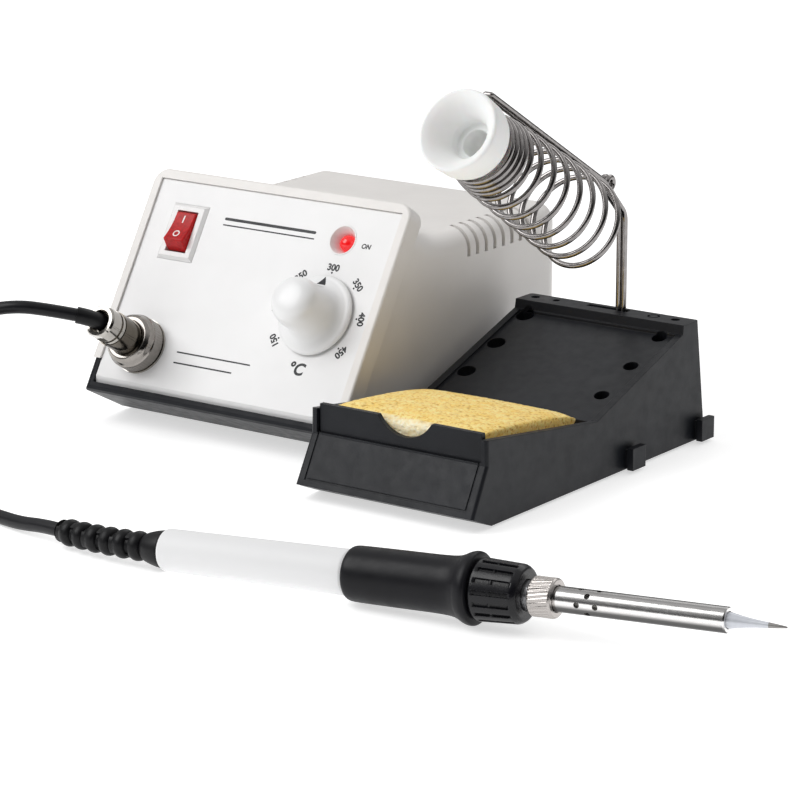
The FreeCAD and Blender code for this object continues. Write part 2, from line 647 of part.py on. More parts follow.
def stand_base():
    outline = stand_outline()
    lean = STAND_DRAFT * 50
    block = prism_x(outline, STAND_X0 - 1, STAND_X1 + 1)
    ends = Part.makePolygon([V(STAND_X0, -50, 0), V(STAND_X1, -50, 0), V(STAND_X1 - lean, -50, 50),
                             V(STAND_X0 + lean, -50, 50), V(STAND_X0, -50, 0)])
    block = block.common(Part.Face(ends).extrude(V(0, 200, 0)))
    upright = [e for e in block.Edges if e.BoundBox.XLength < 1.1 and e.BoundBox.ZLength > 8.5
               and e.BoundBox.YLength < 12]
    base = block.makeFillet(1.2, upright)
    x0 = STAND_X0 + STAND_WALL
    x1 = STAND_X1 - STAND_WALL
    # the slope lies a little below its side borders
    low, high = TRAY_BACK - 2, LEDGE_FRONT - 1.2
    slope = [(low, slope_z(low) - 1.0), (high, slope_z(high) - 1.0), (high, 60), (low, 60)]
    base = base.cut(prism_x(slope, x0 + 0.4, x1 - 0.4))
    base = base.cut(box(x0, x1, STAND_FRONT + 0.9, TRAY_BACK - 2.2, 10.0, 60))
    base = base.cut(box(x0, x1, STAND_FRONT - 3, STAND_FRONT + 1.1, 22.6, 60))
    # the hollow under the tray and the slope
    base = base.cut(prism_x([(-24.5, -1), (-29.5, TOE_Z), (-27.5, 7.6), (38, 7.6), (38, -1)], x0, x1))
    under = [(37, -1), (37, 7.6), (41.5, 7.6), (41.5, slope_z(41.5) - 4.0),
             (LEDGE_FRONT, slope_z(LEDGE_FRONT) - 4.0), (LEDGE_FRONT + 0.4, LEDGE_Z - 3),
             (LEDGE_BACK - 2.6, LEDGE_Z - 3), (STAND_BACK - 3, -1)]
    base = base.cut(prism_x(under, x0, x1))
    for x, y, radius in stand_holes():
        low, high = y - 14, y + 14
        below = prism_x([(low, slope_z(low) - 2), (high, slope_z(high) - 2), (high, -1), (low, -1)],
                        x0 - 3.5, x1 + 3.5)
        base = base.fuse(tip_socket(x, y, radius + 1.4, 12.0).common(below))
        base = base.cut(tip_socket(x, y, radius, 14.0))
    for x, radius in ((71.0, 1.7), (80.2, 1.4), (131.6, 1.7)):
        base = base.cut(rod((x, 103.4, 38), (x, 103.4, 50), radius))
    base = base.cut(rod((122.4, 103.4, LEDGE_Z - 0.6), (122.4, 103.4, 50), 2.4).cut(
        rod((122.4, 103.4, 40), (122.4, 103.4, 50), 1.6)))
    # the slot for the holder's foot, in a block below the ledge
    base = base.fuse(box(91, 113, 99.5, 107.5, 32.0, LEDGE_Z - 2).cut(box(80, 120, 90, 99.9, 0, 30)))
    base = base.cut(box(93.4, HOLDER_X + 3.4, POST_Y - 1.35, POST_Y + 1.35, 34.0, 50))
    base = base.cut(front_groove(x0 + 0.4, x1 - 0.4))
    for x, y in stand_feet_places():
        base = base.fuse(rod((x, y, RIM_Z), (x, y, 9.0), 5.2))
        base = base.cut(rod((x, y, 0), (x, y, RIM_Z + 0.8), 4.0))
    for side in (-1, 1):
        for y in (57.0, 104.0):
            wall = STAND_X1 - 0.6
            tab = fused([box(wall, wall + 2.2, y + 1.4, y + 6.6, 1.2, 8.2),
                         box(wall + 2.0, wall + 4.4, y, y + 8.4, 1.2, 9.2)])
            if side < 0:
                tab = tab.mirror(V((STAND_X0 + STAND_X1) / 2, 0, 0), V(1, 0, 0))
            base = base.fuse(tab)
    return base.removeSplitter()


def front_groove(x0, x1):
    """A shallow line round the stand's lower front face."""
    run = STAND_FRONT - STAND_TOE
    rise = FACE_Z - TOE_Z
    lean = math.degrees(math.atan2(run, rise))
    length = math.hypot(run, rise)
    outer = box(x0, x1, -0.35, 0.35, 2.2, length + 2)
    inner = box(x0 + 0.7, x1 - 0.7, -1, 1, 2.9, length + 3)
    groove = outer.cut(inner)
    groove.rotate(V(0, 0, 0), V(1, 0, 0), -lean)
    groove.translate(V(0, STAND_TOE, TOE_Z))
    return groove


def stand_feet_places():
    return [(x, y) for x in (STAND_X0 + 6.5, STAND_X1 - 6.5) for y in (-17.0, 103.5)]


def stand_feet():
    return Part.makeCompound([rod((x, y, 0), (x, y, RIM_Z + 0.75), 3.9) for x, y in stand_feet_places()])


TRAY_X0 = STAND_X0 + STAND_WALL + 0.5
TRAY_X1 = STAND_X1 - STAND_WALL - 0.5


def sponge_tray():
    front = STAND_FRONT + 1.2
    back = TRAY_BACK - 2.7
    top = [(front, 10.3), (front, 32.6), (front + 2.0, 32.6), (front + 2.4, 27.0), (back, 19.6), (back, 10.3)]
    tray = prism_x(top, TRAY_X0, TRAY_X1)
    tray = tray.cut(box(TRAY_X0 + 1.6, TRAY_X1 - 1.6, front + 2.0, back - 1.6, 12.0, 60))
    # the front wall's upper face stands back between the stand's rims
    notch = Part.makeCylinder(13.1, 8, V(104.5, front - 3, 26.3 + 13.1), V(0, 1, 0))
    return tray.cut(notch).removeSplitter()


def sponge():
    x0, x1 = TRAY_X0 + 2.0, TRAY_X1 - 2.0
    y0, y1 = STAND_FRONT + 3.6, TRAY_BACK - 4.7
    crown = [(y1, 25.0), (y1 - 3, 26.6), (17, 29.2), (-4, 31.4), (-16, 32.3), (y0 + 3, 32.2), (y0, 30.6)]
    return prism_x([(y0, 12.2), (y1, 12.2)] + crown, x0, x1)


# ---------------------------------------------------------------- spring holder

def holder_funnel():
    profile = [(0, 12.9), (0.4, 14.6), (1.4, FUNNEL_R), (9.6, 14.6), (12.6, 13.2), (13.4, 12.4), (13.4, 10.4),
               (26.0, 10.4), (26.0, 5.6), (13.0, 5.6), (13.0, 7.2), (11.2, 7.2), (6.0, 9.4)]
    return placed(turned(profile), HOLDER)


SPRING = {"start": 14.6, "close_turns": 4, "open_turns": 8.25, "close_pitch": 2.5, "open_pitch": 9.1,
          "r0": 12.0, "r1": 16.1, "sag": 0.8}


def spring_point(turn):
    """A point on the spring's centre line, after so many turns from the funnel."""
    close = SPRING["close_turns"]
    total = close + SPRING["open_turns"]
    if turn <= close:
        along = turn * SPRING["close_pitch"]
    else:
        loose = turn - close
        blend = min(loose / 2.0, 1.0)
        mean = SPRING["close_pitch"] + (SPRING["open_pitch"] - SPRING["close_pitch"]) * blend / 2
        if loose <= 2.0:
            along = close * SPRING["close_pitch"] + loose * mean
        else:
            along = close * SPRING["close_pitch"] + 2.0 * mean + (loose - 2.0) * SPRING["open_pitch"]
    radius = SPRING["r0"] + (SPRING["r1"] - SPRING["r0"]) * (turn / total) ** 0.8
    angle = 2 * math.pi * turn
    sag = SPRING["sag"] * turn / total
    local = V(SPRING["start"] + along, radius * math.sin(angle), -radius * math.cos(angle) - sag)
    return HOLDER.multVec(local)


def holder_spring():
    total = SPRING["close_turns"] + SPRING["open_turns"]
    steps = int(total * 12)
    points = [spring_point(total * i / steps) for i in range(steps + 1)]
    curve = Part.BSplineCurve()
    curve.interpolate(points)
    edge = curve.toShape()
    along = edge.tangentAt(edge.FirstParameter)
    ring = Part.Wire([Part.Circle(points[0], along, WIRE_R).toShape()])
    return Part.Wire([edge]).makePipeShell([ring], True, True)


def fillet_path(points, radius_for):
    """Straight runs joined by tangent arcs. radius_for gives the arc's radius at each inner point."""
    edges = []
    here = points[0]
    for i in range(1, len(points) - 1):
        before = (points[i] - points[i - 1]).normalize()
        after = (points[i + 1] - points[i]).normalize()
        turn = before.getAngle(after)
        radius = radius_for(i, turn)
        reach = radius * math.tan(turn / 2)
        start = points[i] - before * reach
        end = points[i] + after * reach
        inward = (after - before).normalize()
        centre = points[i] + inward * (radius / math.cos(turn / 2))
        edges.append(Part.LineSegment(here, start).toShape())
        edges.append(Part.Arc(start, centre - inward * radius, end).toShape())
        here = end
    edges.append(Part.LineSegment(here, points[-1]).toShape())
    return edges


def holder_wire():
    """Two legs, side by side: up the post, then forward along the spring's top to the funnel."""
    legs = []
    front = HOLDER.multVec(V(*BAR_FRONT))
    rear = HOLDER.multVec(V(*BAR_REAR))
    for side in (V(-1.12, 0, 0), V(1.12, 0, 0)):
        points = [V(HOLDER_X, POST_Y, 34.4), V(HOLDER_X, POST_Y, POST_TOP), rear, front]
        legs.append(swept(fillet_path([p + side for p in points], lambda i, turn: 7.0), WIRE_R))
        legs.append(Part.makeSphere(WIRE_R, front + side))
    bend = rod(front - V(1.12, 0, 0), front + V(1.12, 0, 0), WIRE_R)
    foot = rod((95.0, POST_Y, 35.6), (HOLDER_X, POST_Y, 35.6), WIRE_R)
    peg = rod((95.0, POST_Y, 34.6), (95.0, POST_Y, 44.6), WIRE_R)
    eyes = [Part.makeTorus(2.2, WIRE_R, V(HOLDER_X + side, 93.8, 94.3), V(1, 0, 0)) for side in (-1.03, 1.03)]
    return fused(legs + [bend, foot, peg] + eyes)


# ---------------------------------------------------------------- iron

def on_iron(shape):
    return placed(shape, IRON)


def iron_handle():
    profile = [(2.6, 5.2), (2.6, 6.4), (3.4, 6.95), (70.6, 7.45), (71.3, 7.1), (114.0, 7.1), (114.0, 5.2)]
    return on_iron(turned(profile))


def boot_frame(along):
    """The boot's own axes, so far behind the handle. The boot bends sideways as it goes back."""
    turn = along / BOOT_BEND_R
    x = -BOOT_BEND_R * math.sin(turn)
    y = BOOT_BEND_R * (1 - math.cos(turn))
    return IRON.multiply(FreeCAD.Placement(V(x, y, 0), FreeCAD.Rotation(-math.degrees(turn), 0, 0)))


def strain_relief():
    """A ribbed rubber boot: a collar in the handle, a flare, and ribs along a bent core."""
    profile = [(9.0, 0), (9.0, 5.1), (2.6, 5.1), (2.5, 6.2), (0.8, 6.0), (-6.0, 4.2), (-6.0, 0)]
    flare = on_iron(turned(profile))
    path = [boot_frame(along).Base for along in (4.0, BOOT_LENGTH / 2, BOOT_LENGTH)]
    boot = flare.fuse(swept([Part.Arc(*path).toShape()], 3.6))
    pitch = (BOOT_LENGTH - 6.6) / BOOT_RIBS
    for i in range(BOOT_RIBS):
        rib = turned([(0, 0), (-0.5, 4.5), (-pitch / 2, 4.9), (-pitch + 1.1, 4.5), (-pitch + 0.6, 0)])
        boot = boot.fuse(placed(rib, boot_frame(6.6 + pitch * i)))
    return boot.removeSplitter()


def grip_sleeve():
    profile = [(71.5, 7.2), (71.5, 7.8), (72.5, 8.7), (75.0, 8.95), (104.0, 9.2), (109.5, 9.6), (112.6, 10.7),
               (114.4, 11.55), (116.0, 11.65), (GRIP_END, 11.0), (GRIP_END, 7.2)]
    return on_iron(turned(profile))


def heater_mount():
    profile = [(104, 3.3), (104, 5.1), (114.2, 5.1), (114.2, 7.1), (117.3, 7.1),
               (117.3, 7.4), (127.0, 7.4), (127.0, 4.6), (142.2, 4.6), (142.2, 3.3)]
    return on_iron(turned(profile))


def collar_nut():
    profile = [(117.2, 7.5), (117.2, 9.9), (118.0, 10.1), (131.6, 9.3), (133.2, 8.4), (133.2, 4.7),
               (127.4, 4.7), (127.4, 7.5)]
    nut = turned(profile)
    for i in range(16):
        groove = box(119.2, 131.0, -0.75, 0.75, 9.2, 11)
        groove.rotate(V(0, 0, 0), V(1, 0, 0), 360 * i / 16)
        nut = nut.cut(groove)
    return on_iron(nut)


def barrel_nut():
    profile = [(135.4, 4.7), (135.4, 5.9), (135.9, 6.35), (142.9, 6.35), (143.5, 5.9), (143.5, 4.2),
               (142.9, 4.2), (142.9, 4.7)]
    return on_iron(turned(profile))


def barrel_tube():
    flange = [(142.4, 3.55), (142.4, 4.55), (142.8, 4.55), (142.8, 4.05)]
    profile = flange + [(TUBE_END - 0.4, 4.05), (TUBE_END, 3.7), (TUBE_END, 2.75), (TUBE_END - 0.7, 2.75),
                        (TUBE_END - 0.7, 3.55)]
    tube = turned(profile)
    for s, angles in ((151.5, (0, 90, 180, 270)), (154.6, (45, 135, 225, 315)), (157.7, (0, 90, 180, 270))):
        for angle in angles:
            hole = Part.makeCylinder(0.95, 6, V(s, 0, 0), V(0, 0, 1))
            hole.rotate(V(0, 0, 0), V(1, 0, 0), angle)
            tube = tube.cut(hole)
    return on_iron(tube)


def soldering_tip():
    shank = [(147.2, 2.6), (147.2, 3.4), (TUBE_END - 0.9, 3.4), (TUBE_END - 0.9, 2.6)]
    point = [(TUBE_END + 1.0, 2.5), (TUBE_END + 6.0, 1.5), (212.7, 0.85), (TIP_END, 0.12), (TIP_END, 0)]
    profile = shank + point + [(191.0, 0), (189.0, 2.6)]
    return on_iron(turned(profile))


def heater_element():
    rodlike = turned([(100, 0), (100, 2.4), (187.5, 2.4), (188.5, 1.6), (188.5, 0)])
    return on_iron(rodlike)


# ---------------------------------------------------------------- cord

def cord_ends():
    """Where the cord leaves the strain relief and the plug's sleeve, and the way it points there."""
    boot_end = boot_frame(BOOT_LENGTH)
    iron_end = boot_end.Base
    iron_way = boot_end.Rotation.multVec(V(-1, 0, 0))
    return iron_end, iron_way, *sleeve_path()[2:]


# Each route starts at its exit. Its later points are chosen by hand.
IRON_ROUTE = [(14.5, -120.4, 3.1), (2.0, -117.3, 2.4), (-13.0, -114.2, 2.4), (-30.0, -112.6, 2.4),
              (-47.5, -112.4, 2.4), (-67.0, -113.2, 2.4)]
PLUG_ROUTE = [(-61.0, -36.3, 50.7), (-74.0, -41.0, 47.7), (-87.0, -45.0, 40.5), (-99.0, -50.5, 31.0),
              (-108.5, -58.5, 21.5), (-113.8, -69.5, 14.2), (-115.2, -82.0, 12.0)]


def cord_run(name, points):
    lengths = [(points[i + 1] - points[i]).Length for i in range(len(points) - 1)]

    def radius_for(i, turn):
        radius = 0.45 * min(lengths[i - 1], lengths[i]) / math.tan(turn / 2)
        print(name, "point", i, "turn", round(math.degrees(turn), 1), "radius", round(radius, 1))
        return radius

    edges = fillet_path(points, radius_for)
    tube = swept(edges, CORD_D / 2)
    length = sum(e.Length for e in edges)
    expected = length * math.pi * (CORD_D / 2) ** 2
    print(name, "length", round(length, 1), "volume ratio", round(tube.Volume / expected, 4))
    return tube


def cord_coil():
    half = COIL_WIDE * CORD_D / 2
    x, y = COIL_AT
    ring = rod((x, y, 0), (x, y, COIL_HIGH * CORD_D), COIL_R + half)
    return ring.cut(rod((x, y, -1), (x, y, 20), COIL_R - half))


def coil_tie():
    """A strap over the coil's section, on the side towards the housing."""
    x, y = COIL_AT
    half = COIL_WIDE * CORD_D / 2
    inner = box(x + COIL_R - half - 0.6, x + COIL_R + half + 0.1, y - 6, y + 6, -1, COIL_HIGH * CORD_D + 0.1)
    outer = box(x + COIL_R - half - 1.6, x + COIL_R + half + 1.0, y - 4, y + 4, 0.0, COIL_HIGH * CORD_D + 1.0)
    return outer.cut(inner)


# ---------------------------------------------------------------- write every piece

def main():
    os.makedirs("parts", exist_ok=True)
    housing = [upper_housing, lower_shell, rubber_feet, housing_screws]
    controls = [front_panel, rocker_switch_body, rocker_paddle, indicator_bezel, indicator_led,
                potentiometer_body, potentiometer_nut, potentiometer_shaft, temperature_knob]
    plug = [panel_socket, socket_washer, plug_coupling_ring, plug_shell, plug_cable_clamp, plug_sleeve]
    inside = [transformer_core, transformer_winding, transformer_bracket, transformer_screws, board_spacers,
              board_screws, circuit_board, board_components]
    back = [fuse_holder, fuse_holder_nut, fuse_cap, fuse, mains_gland]
    stand = [stand_base, stand_feet, sponge_tray, sponge, holder_funnel, holder_spring, holder_wire]
    iron = [iron_handle, strain_relief, grip_sleeve, heater_mount, collar_nut, barrel_nut, barrel_tube,
            soldering_tip, heater_element]
    pieces = housing + controls + plug + inside + back + stand + iron + [cord_coil, coil_tie]
    for piece in pieces:
        save(piece.__name__, piece())
    iron_end, iron_way, plug_end, plug_way = cord_ends()
    iron_points = [iron_end, iron_end + iron_way * 9] + [V(*point) for point in IRON_ROUTE]
    plug_points = [plug_end, plug_end + plug_way * 9] + [V(*point) for point in PLUG_ROUTE]
    save("cord_iron_run", cord_run("cord_iron_run", iron_points))
    save("cord_plug_run", cord_run("cord_plug_run", plug_points))


main()
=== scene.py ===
import json
import math

import bmesh
import bpy
from mathutils import Matrix, Vector, noise


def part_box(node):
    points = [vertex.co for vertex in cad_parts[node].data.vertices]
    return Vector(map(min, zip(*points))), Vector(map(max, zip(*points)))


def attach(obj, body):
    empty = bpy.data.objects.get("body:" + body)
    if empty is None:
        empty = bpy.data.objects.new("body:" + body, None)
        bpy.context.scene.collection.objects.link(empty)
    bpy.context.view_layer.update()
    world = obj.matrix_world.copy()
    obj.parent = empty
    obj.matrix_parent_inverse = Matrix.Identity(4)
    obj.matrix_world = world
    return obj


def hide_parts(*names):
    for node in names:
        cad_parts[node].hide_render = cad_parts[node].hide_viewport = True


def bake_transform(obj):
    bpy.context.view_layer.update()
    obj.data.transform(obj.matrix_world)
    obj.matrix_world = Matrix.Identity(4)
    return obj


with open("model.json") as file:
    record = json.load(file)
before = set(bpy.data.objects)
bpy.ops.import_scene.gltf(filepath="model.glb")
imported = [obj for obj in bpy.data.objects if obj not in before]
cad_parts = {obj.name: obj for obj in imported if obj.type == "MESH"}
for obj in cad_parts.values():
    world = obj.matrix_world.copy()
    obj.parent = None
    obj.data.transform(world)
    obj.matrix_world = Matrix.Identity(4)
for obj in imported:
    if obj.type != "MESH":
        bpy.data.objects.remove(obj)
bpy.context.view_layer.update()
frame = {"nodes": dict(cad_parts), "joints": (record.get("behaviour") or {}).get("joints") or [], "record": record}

# Lengths below are millimetres, as in the CAD part. Every piece is built in
# the local axes of what it belongs to, and those axes come from the frame.
MM = 0.001
NODES = frame["nodes"]
JOINTS = {joint["name"]: joint for joint in frame["joints"]}
MOUNTS = {mount["name"]: mount for mount in frame["record"]["mounts"]}

CORD_D = 4.8
COIL_AT = (-84.0, -82.0)
COIL_TURNS = [(31.2, 2.4), (26.4, 2.4), (21.6, 2.4), (21.6, 7.2), (26.4, 7.2), (31.2, 7.2)]
BOOT_LENGTH = 42.5
BOOT_BEND_R = 150.0
BOOT_RIBS = 6
TUBE_END = 199.8
TIP_END = 218.6
DIAL_AT = (33.0, 36.7)       # on the panel, from the middle of its lower edge
ROCKER_AT = (-37.8, 59.4)
LED_AT = (33.2, 66.1)
ROCKER_TILT = 14.0


# ---------------------------------------------------------------- places

def place(origin, z_axis, x_axis):
    """Local millimetres, with z along z_axis and x as near x_axis as it can be."""
    z = Vector(z_axis).normalized()
    x = Vector(x_axis)
    x = (x - z * x.dot(z)).normalized()
    matrix = Matrix((x, z.cross(x), z)).transposed().to_4x4()
    matrix.translation = Vector(origin)
    return matrix @ Matrix.Scale(MM, 4)


def moved(matrix, x, y, z=0.0):
    return matrix @ Matrix.Translation((x, y, z))


PANEL_LOW, PANEL_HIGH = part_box("front_panel")
HOME = Vector(((PANEL_LOW.x + PANEL_HIGH.x) / 2, PANEL_LOW.y, 0))
DIAL = place(JOINTS["knob_turn"]["pos_m"], JOINTS["knob_turn"]["axis"], (1, 0, 0))
PANEL = moved(DIAL, -DIAL_AT[0], -DIAL_AT[1])
RING = JOINTS["coupling_ring_turn"]
SOCKET = moved(place(RING["pos_m"], RING["axis"], (1, 0, 0)), 0, 0, -5.0)
COLLAR = JOINTS["collar_nut_turn"]
IRON = moved(place(COLLAR["pos_m"], COLLAR["axis"], (0, 0, 1)), 0, 0, -125.0)
THROAT = MOUNTS["holder_throat"]
HOLDER = moved(place(THROAT["pos_m"], -Vector(THROAT["axis"]), (1, 0, 0)), 0, 0, -19.5)


def at(x, y, z):
    """A point measured from the housing: its centre plane, the panel's lower edge and the floor."""
    return HOME + Vector((x, y, z)) * MM


def boot_frame(along):
    """The strain relief's own axes, so far behind the handle. It bends sideways as it goes back."""
    turn = along / BOOT_BEND_R
    shift = Matrix.Translation((0, -BOOT_BEND_R * (1 - math.cos(turn)), -BOOT_BEND_R * math.sin(turn)))
    return IRON @ shift @ Matrix.Rotation(-turn, 4, "X")


# ---------------------------------------------------------------- camera

def make_camera():
    """The view from the right of the front, a little above."""
    azimuth, elevation = 0.62352, 0.26254
    back = Vector((math.sin(azimuth) * math.cos(elevation), -math.cos(azimuth) * math.cos(elevation),
                   math.sin(elevation)))
    camera = bpy.data.objects.new("camera", bpy.data.cameras.new("camera"))
    camera.data.lens = 160.04
    camera.data.sensor_width = 36.0
    camera.data.clip_start = 0.05
    camera.data.clip_end = 60.0
    camera.location = at(779.84, -968.17, 350.76)
    camera.rotation_mode = "QUATERNION"
    camera.rotation_quaternion = (-back).to_track_quat("-Z", "Y")
    bpy.context.scene.collection.objects.link(camera)
    bpy.context.scene.camera = camera


# ---------------------------------------------------------------- mesh helpers

def smooth(points, steps=6):
    """A rounded line through every point, by Catmull-Rom."""
    points = [Vector(p) for p in points]
    line = []
    for i in range(len(points) - 1):
        before = points[max(i - 1, 0)]
        start, end = points[i], points[i + 1]
        after = points[min(i + 2, len(points) - 1)]
        for step in range(steps):
            t = step / steps
            line.append(0.5 * (2 * start + (end - before) * t
                               + (2 * before - 5 * start + 4 * end - after) * t ** 2
                               + (3 * start - before - 3 * end + after) * t ** 3))
    return line + [points[-1]]


def rounded(points, radius, steps=4, closed=False):
    """The same outline with each corner drawn as a short curve."""
    points = [Vector(p) for p in points]
    ends = [] if closed else [points[0], points[-1]]
    corners = points if closed else points[1:-1]
    line = []
    for corner in corners:
        i = points.index(corner)
        before, after = points[i - 1], points[(i + 1) % len(points)]
        start = corner + (before - corner) * min(0.45, radius / (before - corner).length)
        end = corner + (after - corner) * min(0.45, radius / (after - corner).length)
        for step in range(steps + 1):
            t = step / steps
            line.append(start.lerp(corner, t).lerp(corner.lerp(end, t), t))
    return line if closed else [ends[0]] + line + [ends[1]]


def sampled(points, pitch):
    """The same line with no stretch longer than pitch."""
    points = [Vector(p) for p in points]
    line = [points[0]]
    for start, end in zip(points, points[1:]):
        count = max(1, math.ceil((end - start).length / pitch))
        line += [start.lerp(end, (i + 1) / count) for i in range(count)]
    return line


def add_mesh(name, verts, faces, sharp=35.0):
    """A mesh object in the frame's metres, with its doubles merged and its smooth edges shaded smooth."""
    mesh = bpy.data.meshes.new(name)
    mesh.from_pydata([tuple(v) for v in verts], [], faces)
    work = bmesh.new()
    work.from_mesh(mesh)
    bmesh.ops.remove_doubles(work, verts=work.verts, dist=2e-7)
    bmesh.ops.recalc_face_normals(work, faces=work.faces)
    work.to_mesh(mesh)
    work.free()
    mesh.shade_smooth()
    mesh.set_sharp_from_angle(angle=math.radians(sharp))
    obj = bpy.data.objects.new(name, mesh)
    bpy.context.scene.collection.objects.link(obj)
    return obj


def lathe(name, outline, where, turns=96, wave=None, closed=False, sharp=35.0):
    """outline holds (radius, along) points, turned about where's z axis. where may bend with along."""
    verts = []
    for radius, along in outline:
        matrix = where(along) if callable(where) else moved(where, 0, 0, along)
        for i in range(turns):
            angle = 2 * math.pi * i / turns
            r = wave(radius, along, angle) if wave else radius
            verts.append(matrix @ Vector((r * math.cos(angle), r * math.sin(angle), 0)))
    rows = len(outline)
    faces = []
    for row in range(rows if closed else rows - 1):
        low, high = row * turns, (row + 1) % rows * turns
        for i in range(turns):
            j = (i + 1) % turns
            faces.append((low + i, low + j, high + j, high + i))
    return add_mesh(name, verts, faces, sharp)


def tube(name, points, radius, sides=20):
    """A closed round tube along metre points."""
    verts = []
    way = (points[1] - points[0]).normalized()
    across = way.orthogonal().normalized()
    for i, point in enumerate(points):
        ahead = points[min(i + 1, len(points) - 1)] - points[max(i - 1, 0)]
        across = (across - ahead.normalized() * across.dot(ahead.normalized())).normalized()
        up = ahead.normalized().cross(across)
        for k in range(sides):
            angle = 2 * math.pi * k / sides
            verts.append(point + (across * math.cos(angle) + up * math.sin(angle)) * radius)
    faces = [tuple(range(sides)), tuple((len(points) - 1) * sides + k for k in range(sides))]
    for i in range(len(points) - 1):
        for k in range(sides):
            j = (k + 1) % sides
            faces.append((i * sides + k, i * sides + j, (i + 1) * sides + j, (i + 1) * sides + k))
    return add_mesh(name, verts, faces, 60.0)


def prism(name, outline, low, high, where, bevel=0.0):
    """A flat outline in local x and y, drawn from z low to z high, with its edges rounded."""
    count = len(outline)
    verts = [where @ Vector((x, y, z)) for z in (low, high) for x, y in outline]
    faces = [tuple(reversed(range(count))), tuple(range(count, 2 * count))]
    faces += [(i, (i + 1) % count, count + (i + 1) % count, count + i) for i in range(count)]
    obj = add_mesh(name, verts, faces)
    if bevel:
        soften(obj, bevel)
    return obj


def soften(obj, width, segments=3):
    edge = obj.modifiers.new("rounding", "BEVEL")
    edge.width = width * MM
    edge.segments = segments
    edge.limit_method = "ANGLE"
    edge.angle_limit = math.radians(30)
    edge.harden_normals = False


def dress(obj, body, material, slot, *nodes):
    """Gives a new piece its material and body, and hides the CAD nodes that it stands for. slot is not used."""
    obj.data.materials.append(MATERIALS[material])
    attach(obj, body)
    if nodes:
        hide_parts(*nodes)
    return obj


# ---------------------------------------------------------------- materials

MATERIALS = {}


class Shader:
    """One material's nodes. Textures are in the object's own millimetres."""

    def __init__(self, name):
        self.material = bpy.data.materials.new(name)
        self.material.use_nodes = True
        self.tree = self.material.node_tree
        self.bsdf = self.tree.nodes["Principled BSDF"]
        self.coords = self.add("ShaderNodeTexCoord").outputs["Object"]
        MATERIALS[name] = self.material

    def add(self, kind, **settings):
        node = self.tree.nodes.new(kind)
        for key, value in settings.items():
            setattr(node, key, value)
        return node

    def link(self, output, entry):
        self.tree.links.new(output, entry)

    def stretched(self, scale, turn=(0, 0, 0)):
        """Coordinates in millimetres, times scale along each axis."""
        mapping = self.add("ShaderNodeMapping")
        mapping.inputs["Rotation"].default_value = turn
        mapping.inputs["Scale"].default_value = [s / MM for s in scale]
        self.link(self.coords, mapping.inputs["Vector"])
        return mapping.outputs["Vector"]

    def noise(self, scale, detail=3.0, turn=(0, 0, 0)):
        """Noise whose waves per millimetre are scale, alike or per axis."""
        each = scale if isinstance(scale, tuple) else (scale,) * 3
        texture = self.add("ShaderNodeTexNoise")
        texture.inputs["Scale"].default_value = 1.0
        texture.inputs["Detail"].default_value = detail
        self.link(self.stretched(each, turn), texture.inputs["Vector"])
        return texture.outputs["Fac"]

    def ramp(self, value, low, high, to_low, to_high):
        node = self.add("ShaderNodeMapRange")
        for key, number in zip(("From Min", "From Max", "To Min", "To Max"), (low, high, to_low, to_high)):
            node.inputs[key].default_value = number
        self.link(value, node.inputs["Value"])
        return node.outputs["Result"]

    def mix(self, factor, first, second):
        """first and second are colours or colour outputs."""
        node = self.add("ShaderNodeMix", data_type="RGBA")
        self.link(factor, node.inputs["Factor"])
        for entry, value in ((node.inputs[6], first), (node.inputs[7], second)):
            if isinstance(value, tuple):
                entry.default_value = (*value, 1)
            else:
                self.link(value, entry)
        return node.outputs[2]

    def bump(self, height, depth, edge=0.0, normal=None):
        """depth is in millimetres. edge rounds the shading of sharp edges by that radius."""
        node = self.add("ShaderNodeBump")
        node.inputs["Strength"].default_value = 1.0
        node.inputs["Distance"].default_value = depth * MM
        self.link(height, node.inputs["Height"])
        if edge:
            bevel = self.add("ShaderNodeBevel", samples=4)
            bevel.inputs["Radius"].default_value = edge * MM
            normal = bevel.outputs["Normal"]
        if normal:
            self.link(normal, node.inputs["Normal"])
        self.link(node.outputs["Normal"], self.bsdf.inputs["Normal"])
        return node.outputs["Normal"]

    def set(self, **values):
        names = {"rough": "Roughness", "metal": "Metallic", "coat": "Coat Weight", "coat_rough": "Coat Roughness",
                 "ior": "IOR", "sheen": "Sheen Weight", "sheen_rough": "Sheen Roughness",
                 "subsurface": "Subsurface Weight", "transmission": "Transmission Weight",
                 "specular": "Specular IOR Level", "emission": "Emission Strength",
                 "anisotropic": "Anisotropic"}
        for key, value in values.items():
            self.bsdf.inputs[names[key]].default_value = value


def shade(colour, factor):
    return tuple(min(1.0, c * factor) for c in colour)


def plastic(name, colour, rough, spread=0.06, patch=0.05, grain=1.6, depth=0.012, edge=0.0, **more):
    """A moulded surface: slow changes of tone, uneven gloss and a fine grain."""
    shader = Shader(name)
    tone = shader.ramp(shader.noise(patch, 4.0), 0.3, 0.7, 0.0, 1.0)
    shader.link(shader.mix(tone, shade(colour, 1 - spread), shade(colour, 1 + spread)),
                shader.bsdf.inputs["Base Color"])
    gloss = shader.ramp(shader.noise(patch * 5, 3.0), 0.3, 0.7, rough * 0.85, rough * 1.15)
    shader.link(gloss, shader.bsdf.inputs["Roughness"])
    shader.bump(shader.noise(grain, 2.0), depth, edge)
    shader.set(**more)
    return shader


